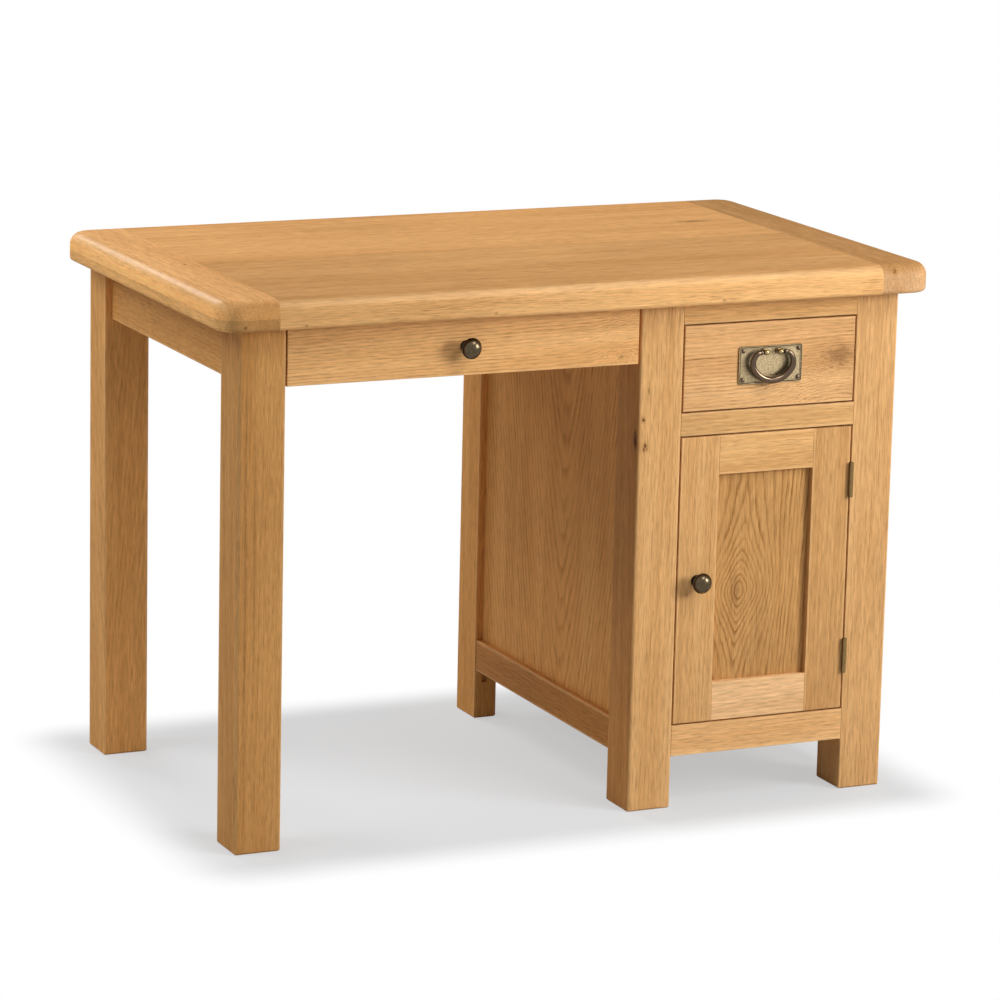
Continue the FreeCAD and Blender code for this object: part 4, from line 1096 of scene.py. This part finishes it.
@dataclass(frozen=True)
class DropHandle(SubAssembly):
    """The drop handle: a bordered back plate, four nails, two ball-headed posts with nuts and a bail.

    The border's steps are pairs of an inset and a rise, the rise in heights of the border. A nail's rise is
    in its radii, and its upright edge is a share of that rise. The bead's steps are pairs of a distance from
    the bail's end and a radius, both in radii of the bead.
    """

    middle: Point
    axis: Point
    width: float = 0.102
    height: float = 0.055
    field: float = 0.0015
    border: float = 0.0024
    border_steps: tuple[Pair, ...] = (
        (0.0004, 1.0), (0.0008, 0.0), (0.0002, -1.6), (0.0009, 0.0), (0.0002, 1.3), (0.0008, 0.0),
        (0.0003, -0.7))
    corner: float = 0.004
    corner_steps: int = 5
    plate_crease: float = 0.5
    nail_inset: float = 0.0064
    nail_radius: float = 0.0031
    nail_rise: float = 0.75
    nail_edge: float = 0.25
    nail_steps: int = 7
    nail_sides: int = 24
    post_offset: float = 0.0115
    ball: float = 0.0044
    stem: float = 0.0027
    stem_start: float = 0.00162
    collar: float = 0.0042
    collar_height: float = 0.0015
    collar_round: float = 0.0006
    collar_steps: int = 4
    tail: float = 0.0020
    tail_past: float = 0.0016
    ball_end: float = 84.6
    ball_steps: int = 14
    post_sides: int = 32
    front_thickness: float = 0.020
    nut_radius: float = 0.0045
    nut_height: float = 0.0032
    nut_sides: int = 6
    nut_rim: float = 0.00054
    nut_cup: float = 0.00135
    nut_dip: float = 0.000192
    nut_ease: float = 0.000225
    nut_ease_steps: int = 2
    nut_crease: float = 0.4
    ring_width: float = 0.0325
    ring_height: float = 0.025
    side_radius: float = 0.017
    shoulder_radius: float = 0.006
    shoulder_start: float = 60.0
    rod_low: float = 0.0056
    rod_corner: float = 0.0049
    rod_side: float = 0.0036
    rod_end: float = 0.0028
    rod_sides: int = 24
    low_steps: int = 8
    side_steps: int = 12
    shoulder_steps: int = 4
    bead: float = 0.0036
    bead_steps: tuple[Pair, ...] = ((1.25, 0.86), (0.8, 1.0), (0.35, 0.86), (0.0, 0.5))
    bail_crease: float = 0.9
    end_gap: float = 0.0005

    def build(self) -> None:
        """Model every part of the handle and fix it."""
        self.install(self.plate(), "handle_plate", "small_drawer", BRASS)
        across = self.width - 2 * self.nail_inset
        up = self.height - 2 * self.nail_inset
        nail = self.nail()
        corners = (("right_low", across, 0.0), ("left_high", 0.0, up), ("right_high", across, up))
        nails = [copied(nail, f"handle_nail_{name}", (x, 0.0, z)) for name, x, z in corners]
        for piece in (nail, *nails):
            self.install(piece, "handle_pins", "small_drawer", BRONZE)
        apart = (2 * self.post_offset, 0.0, 0.0)
        for piece, finish in ((self.post(), GOLD), (self.nut(), BRASS)):
            second = copied(piece, piece.name.replace("left", "right"), apart)
            self.install(piece, "handle_posts", "small_drawer", finish)
            self.install(second, "handle_posts", "small_drawer", finish)
        self.install(self.bail(), "handle_bail", "bail", BRONZE)

    def plate(self) -> bpy.types.Object:
        """Model the plate: rounded corners, a sloped edge and a raised line round a flat field.

        Returns:
            The plate.
        """
        x, y, z = self.middle
        bpy.ops.object.select_all(action="DESELECT")
        bpy.ops.mesh.primitive_cube_add(size=1.0, location=(x, y - self.field / 2, z),
                                        scale=(self.width, self.field, self.height))
        piece = begin("cast_handle_plate")
        bpy.ops.object.mode_set(mode="OBJECT")
        bpy.ops.object.transform_apply(location=False, rotation=False, scale=True)
        near_end, near_top = self.width * NEARLY_HALF, self.height * NEARLY_HALF
        pick(piece, "EDGE", lambda middle: abs(middle.x) > near_end and abs(middle.z) > near_top)
        bpy.ops.mesh.bevel(offset=self.corner, segments=self.corner_steps, affect="EDGES")
        pick(piece, "FACE", lambda middle: middle.y < -self.field * NEARLY_HALF)
        height = self.border - self.field
        for inset, rise in self.border_steps:
            bpy.ops.mesh.inset(thickness=inset, depth=rise * height, use_even_offset=True)
        return close(piece, self.plate_crease)

    def nail(self) -> bpy.types.Object:
        """Model the domed nail in the plate's low left corner.

        Returns:
            The nail.
        """
        x, y, z = self.middle
        left = x - self.width / 2 + self.nail_inset
        low = z - self.height / 2 + self.nail_inset
        rise = self.nail_radius * self.nail_rise
        edge = rise * self.nail_edge
        dome = (self.nail_radius, rise - edge)
        outline = [(0.0, 0.0), (self.nail_radius, 0.0)]
        outline += arc((0.0, edge), dome, (0.0, QUARTER_TURN), self.nail_steps)[:-1]
        outline += [(0.0, rise)]
        return turned("handle_nail_left_low", outline, (left, y - self.field, low), self.nail_sides)

    def post(self) -> bpy.types.Object:
        """Model the left post: a tail through the drawer front, a collar, a stem and a ball for the bail.

        Returns:
            The post.
        """
        x, y, z = self.axis
        seat = self.middle[1] - self.field
        reach = seat - y
        back = self.field + self.front_thickness + self.nut_height + self.tail_past
        meet = math.degrees(math.asin(self.stem / self.ball)) - QUARTER_TURN
        rounded = (self.collar_round, self.collar_round)
        outline = [(0.0, -back), (self.tail, -back), (self.tail, 0.0), (self.collar, 0.0)]
        outline += arc((self.collar - self.collar_round, self.collar_height - self.collar_round), rounded,
                       (0.0, QUARTER_TURN), self.collar_steps)
        outline += [(self.stem, self.stem_start)]
        outline += arc((0.0, reach), (self.ball, self.ball), (meet, self.ball_end), self.ball_steps)
        outline += [(0.0, reach + self.ball)]
        return turned("handle_post_left", outline, (x - self.post_offset, seat, z), self.post_sides)

    def nut(self) -> bpy.types.Object:
        """Model the left nut behind the drawer front: six sides, eased edges and a dished outer face.

        Returns:
            The nut.
        """
        x, _, z = self.axis
        inside = self.middle[1] + self.front_thickness
        bpy.ops.object.select_all(action="DESELECT")
        bpy.ops.mesh.primitive_cylinder_add(
            vertices=self.nut_sides, radius=self.nut_radius, depth=self.nut_height,
            rotation=(math.pi / 2, 0.0, 0.0),
            location=(x - self.post_offset, inside + self.nut_height / 2, z))
        piece = begin("handle_nut_left")
        pick(piece, "FACE", lambda middle: middle.z < -self.nut_height * NEARLY_HALF)
        bpy.ops.mesh.inset(thickness=self.nut_rim, depth=0.0)
        bpy.ops.mesh.inset(thickness=self.nut_cup, depth=self.nut_dip)
        pick(piece, "EDGE", lambda middle: abs(middle.z) < self.nut_height * NEAR_MIDDLE)
        bpy.ops.mesh.bevel(offset=self.nut_ease, segments=self.nut_ease_steps, affect="EDGES")
        return close(piece, self.nut_crease)

    def bail(self) -> bpy.types.Object:
        """Model the oval bail: half is swept from the bottom to the bead at its end, then mirrored.

        Returns:
            The bail.
        """
        x, y, z = self.axis
        offset = self.ring_width - self.side_radius
        rise = self.ring_height - self.side_radius
        lift = (offset ** 2 - rise ** 2) / (2 * rise)
        swing = math.degrees(math.atan2(offset, lift)) - QUARTER_TURN
        inner = self.side_radius - self.shoulder_radius
        turn = math.radians(self.shoulder_start)
        bend_x, bend_z = x + offset + inner * math.cos(turn), inner * math.sin(turn)
        ring_z = z - bend_z - self.shoulder_radius
        bpy.ops.object.select_all(action="DESELECT")
        bpy.ops.mesh.primitive_circle_add(
            vertices=self.rod_sides, radius=self.rod_low, rotation=(0.0, math.pi / 2, 0.0),
            location=(x, y, ring_z - self.ring_height))
        piece = begin("cast_handle_bail")
        self.sweep((x, y, ring_z + lift), self.ring_height + lift, (-QUARTER_TURN, swing),
                   (self.rod_low, self.rod_corner), self.low_steps)
        self.sweep((x + offset, y, ring_z), self.side_radius, (swing, self.shoulder_start),
                   (self.rod_corner, self.rod_side), self.side_steps)
        self.sweep((bend_x, y, ring_z + bend_z), self.shoulder_radius, (self.shoulder_start, QUARTER_TURN),
                   (self.rod_side, self.rod_end), self.shoulder_steps)
        end = x + self.post_offset + self.ball + self.end_gap
        here, size = bend_x, self.rod_end
        for share, swell in self.bead_steps:
            place, radius = end + self.bead * share, self.bead * swell
            bpy.ops.mesh.extrude_region_move(TRANSFORM_OT_translate={"value": (place - here, 0.0, 0.0)})
            grown = radius / size
            bpy.ops.transform.resize(value=(1.0, grown, grown), center_override=(place, y, z))
            here, size = place, radius
        bpy.ops.mesh.edge_face_add()
        bpy.ops.object.mode_set(mode="OBJECT")
        bpy.ops.object.transform_apply(location=False, rotation=True, scale=False)
        bpy.ops.object.modifier_add(type="MIRROR")
        bpy.ops.object.modifier_apply(modifier=piece.modifiers[-1].name)
        return close(piece, self.bail_crease)

    def sweep(self, centre: Point, radius: float, angles: Pair, sizes: Pair, steps: int) -> None:
        """Carry the rod's end round a centre while it changes size.

        Args:
            centre: The middle of the bend.
            radius: The bend's radius.
            angles: Where the bend starts and ends, in degrees up from the desk's right.
            sizes: The rod's radius before and after.
            steps: How many sections the bend has.
        """
        step_angle = math.radians(angles[1] - angles[0]) / steps
        for step in range(steps):
            before, after = (sizes[0] + (sizes[1] - sizes[0]) * (step + more) / steps for more in (0, 1))
            angle = math.radians(angles[0]) + step_angle * (step + 1)
            section = (centre[0] + radius * math.cos(angle), centre[1],
                       centre[2] + radius * math.sin(angle))
            bpy.ops.mesh.spin(steps=1, angle=step_angle, center=centre, axis=(0.0, 1.0, 0.0))
            bpy.ops.transform.resize(value=(after / before,) * 3, center_override=section)


@dataclass(frozen=True)
class Lamp:
    """A soft square lamp that points at the desk; a spread below a half turn narrows its beam."""

    name: str
    place: Point
    target: Point
    size: float
    power: float
    spread: float = math.pi

    def build(self) -> None:
        """Hang the lamp."""
        light = bpy.data.lights.new(self.name, "AREA")
        light.shape = "SQUARE"
        light.size = self.size
        light.energy = self.power
        light.spread = self.spread
        lamp = bpy.data.objects.new(self.name, light)
        lamp.location = self.place
        lamp.rotation_euler = (Vector(self.target) - Vector(self.place)).to_track_quat("-Z", "Y").to_euler()
        bpy.context.scene.collection.objects.link(lamp)
        LOG.info("lamp %s", self.name)


@dataclass(frozen=True)
class Studio:
    """The white room: a pale floor that keeps the desk's shadow, a white surround and soft lamps."""

    lamps: tuple[Lamp, ...]
    world_strength: float = 0.18
    floor_half: float = 14.0
    floor_colour: Colour = (0.60, 0.60, 0.60)
    shown_colour: Colour = (0.24, 0.25, 0.26)
    shown_glow: float = 0.50
    foot_half: Point = (0.51, 0.33, 1.0)
    clear_from: float = 0.0
    clear_to: float = 0.12

    def build(self) -> None:
        """Make the floor, the surround and the lamps."""
        scene = bpy.context.scene
        scene.view_settings.view_transform = "Standard"
        self.surround(scene)
        bpy.ops.object.select_all(action="DESELECT")
        bpy.ops.mesh.primitive_plane_add(size=2 * self.floor_half)
        floor = bpy.context.object
        floor.name = "studio_floor"
        dress(floor, self.floor_material())
        for lamp in self.lamps:
            lamp.build()

    def seen(self, graph: Graph) -> bpy.types.NodeSocket:
        """Tell rays that show the surround itself: from the camera, a mirror or through glass.

        Args:
            graph: The nodes that ask.

        Returns:
            1 for such rays and 0 for the others.
        """
        path = graph.node("ShaderNodeLightPath", {}).outputs
        mirrored = graph.math("MAXIMUM", path["Is Glossy Ray"], path["Is Transmission Ray"])
        return graph.math("MAXIMUM", path["Is Camera Ray"], mirrored)

    def surround(self, scene: bpy.types.Scene) -> None:
        """Light the room evenly and show it white.

        Args:
            scene: The scene that gets the room.
        """
        scene.world = bpy.data.worlds.new("studio")
        graph = Graph(scene.world)
        strength = graph.math("MAXIMUM", self.seen(graph), self.world_strength)
        light = graph.node("ShaderNodeBackground", {"Color": WHITE, "Strength": strength})
        graph.node("ShaderNodeOutputWorld", {"Surface": light.outputs[0]})

    def floor_material(self) -> bpy.types.Material:
        """Make a floor that lights the desk as a pale floor does and shows white but for the shadow.

        Returns:
            The floor's material.
        """
        graph = Graph(bpy.data.materials.new("floor"))
        place = graph.node("ShaderNodeTexCoord", {}).outputs["Object"]
        outside = graph.vector("SUBTRACT", graph.vector("ABSOLUTE", place), self.foot_half)
        outside = graph.vector("LENGTH", graph.vector("MAXIMUM", outside, (0.0, 0.0, 0.0)))
        clear = graph.step(outside, self.clear_from, self.clear_to)
        plain = graph.node("ShaderNodeBsdfDiffuse", {"Color": self.floor_colour}).outputs[0]
        shaded = graph.node("ShaderNodeBsdfDiffuse", {"Color": self.shown_colour}).outputs[0]
        glow = graph.node("ShaderNodeEmission", {"Strength": self.shown_glow}).outputs[0]
        near = graph.node("ShaderNodeAddShader", {0: shaded, 1: glow}).outputs[0]
        white = graph.node("ShaderNodeEmission", {"Strength": 1.0}).outputs[0]
        shown = graph.node("ShaderNodeMixShader", {0: clear, 1: near, 2: white}).outputs[0]
        both = graph.node("ShaderNodeMixShader", {0: self.seen(graph), 1: plain, 2: shown})
        return graph.finish(both.outputs[0])


@dataclass(frozen=True)
class PhotoCamera:
    """The camera at the photograph's place: turned to the right, tipped down and a little rolled."""

    place: Point = (-2.65206, -5.77181, 1.83184)
    yaw: float = 0.433130
    pitch: float = -0.220689
    roll: float = 0.022865
    focal_pixels: float = 4429.36
    frame_pixels: float = 1000.0
    sensor: float = 36.0

    def build(self) -> None:
        """Make the camera and look through it."""
        data = bpy.data.cameras.new("photo_camera")
        data.sensor_width = self.sensor
        data.lens = self.focal_pixels * self.sensor / self.frame_pixels
        camera = bpy.data.objects.new("photo_camera", data)
        level = math.cos(self.pitch)
        ahead = Vector((math.sin(self.yaw) * level, math.cos(self.yaw) * level, math.sin(self.pitch)))
        right = Vector((math.cos(self.yaw), -math.sin(self.yaw), 0.0))
        right = Matrix.Rotation(-self.roll, 3, ahead) @ right
        camera.matrix_world = Matrix((right, right.cross(ahead), -ahead)).transposed().to_4x4()
        camera.location = self.place
        bpy.context.scene.collection.objects.link(camera)
        bpy.context.scene.camera = camera
        LOG.info("camera")


STUDIO = Studio((
    Lamp("key", (2.10, -2.05, 1.30), (0.22, -0.25, 0.68), size=0.9, power=10.6, spread=1.25),
    Lamp("front", (1.0, -2.0, 2.8), (0.0, -0.2, 0.6), size=1.0, power=30.5),
    Lamp("left", (-2.5, 0.35, 2.75), (-0.3, 0.0, 0.45), size=1.9, power=48.0),
    Lamp("back", (-0.65, 2.2, 2.0), (0.0, 0.0, 0.7), size=1.0, power=32.0),
    Lamp("overhead", (1.15, 0.0, 2.8), (0.0, 0.0, 0.7), size=0.6, power=12.0),
))

KNEE_DRAWER = Drawer("knee_drawer", Figure(
    Grain.FRONT_LONG, pitch=0.0048, contrast=0.75, wobble=0.02, tint=(1.20, 1.20, 1.27), knots=(
        Knot(on_front(65.2, 669.7), radius=0.0035, stretch=1.3, dark=0.35, pull=0.012),
        Knot(on_front(84, 690), radius=0.010, stretch=1.2, dark=0.0, pull=0.022))))

SMALL_DRAWER = Drawer("small_drawer", Figure(
    Grain.FRONT_LONG, pitch=0.0052, contrast=1.05, wobble=0.014, tint=(1.04, 1.06, 1.22), knots=(
        Knot(on_front(411, 594), radius=0.014, stretch=1.7, dark=0.0, pull=0.034),
        Knot(on_front(415, 652), radius=0.017, stretch=1.5, dark=0.46, pull=0.0),
        Knot(on_front(190, 659), radius=0.0009, stretch=45.0, dark=0.40, pull=0.0))))

DESK = (
    Top(), Legs(), Pedestal(), KneeSpace(), KNEE_DRAWER, SMALL_DRAWER, Door(),
    Knobs(front_middle("knee_drawer_front"), front_middle("door_stile_left")),
    DropHandle(front_middle("small_drawer_front"), pivot_of("bail_pivot")),
)


def main() -> None:
    """Build the studio, the camera and every sub-assembly in order."""
    logging.basicConfig(level=logging.INFO, format="%(message)s")
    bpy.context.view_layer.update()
    STUDIO.build()
    PhotoCamera().build()
    for sub_assembly in DESK:
        sub_assembly.build()


if __name__ == "__main__":
    main()
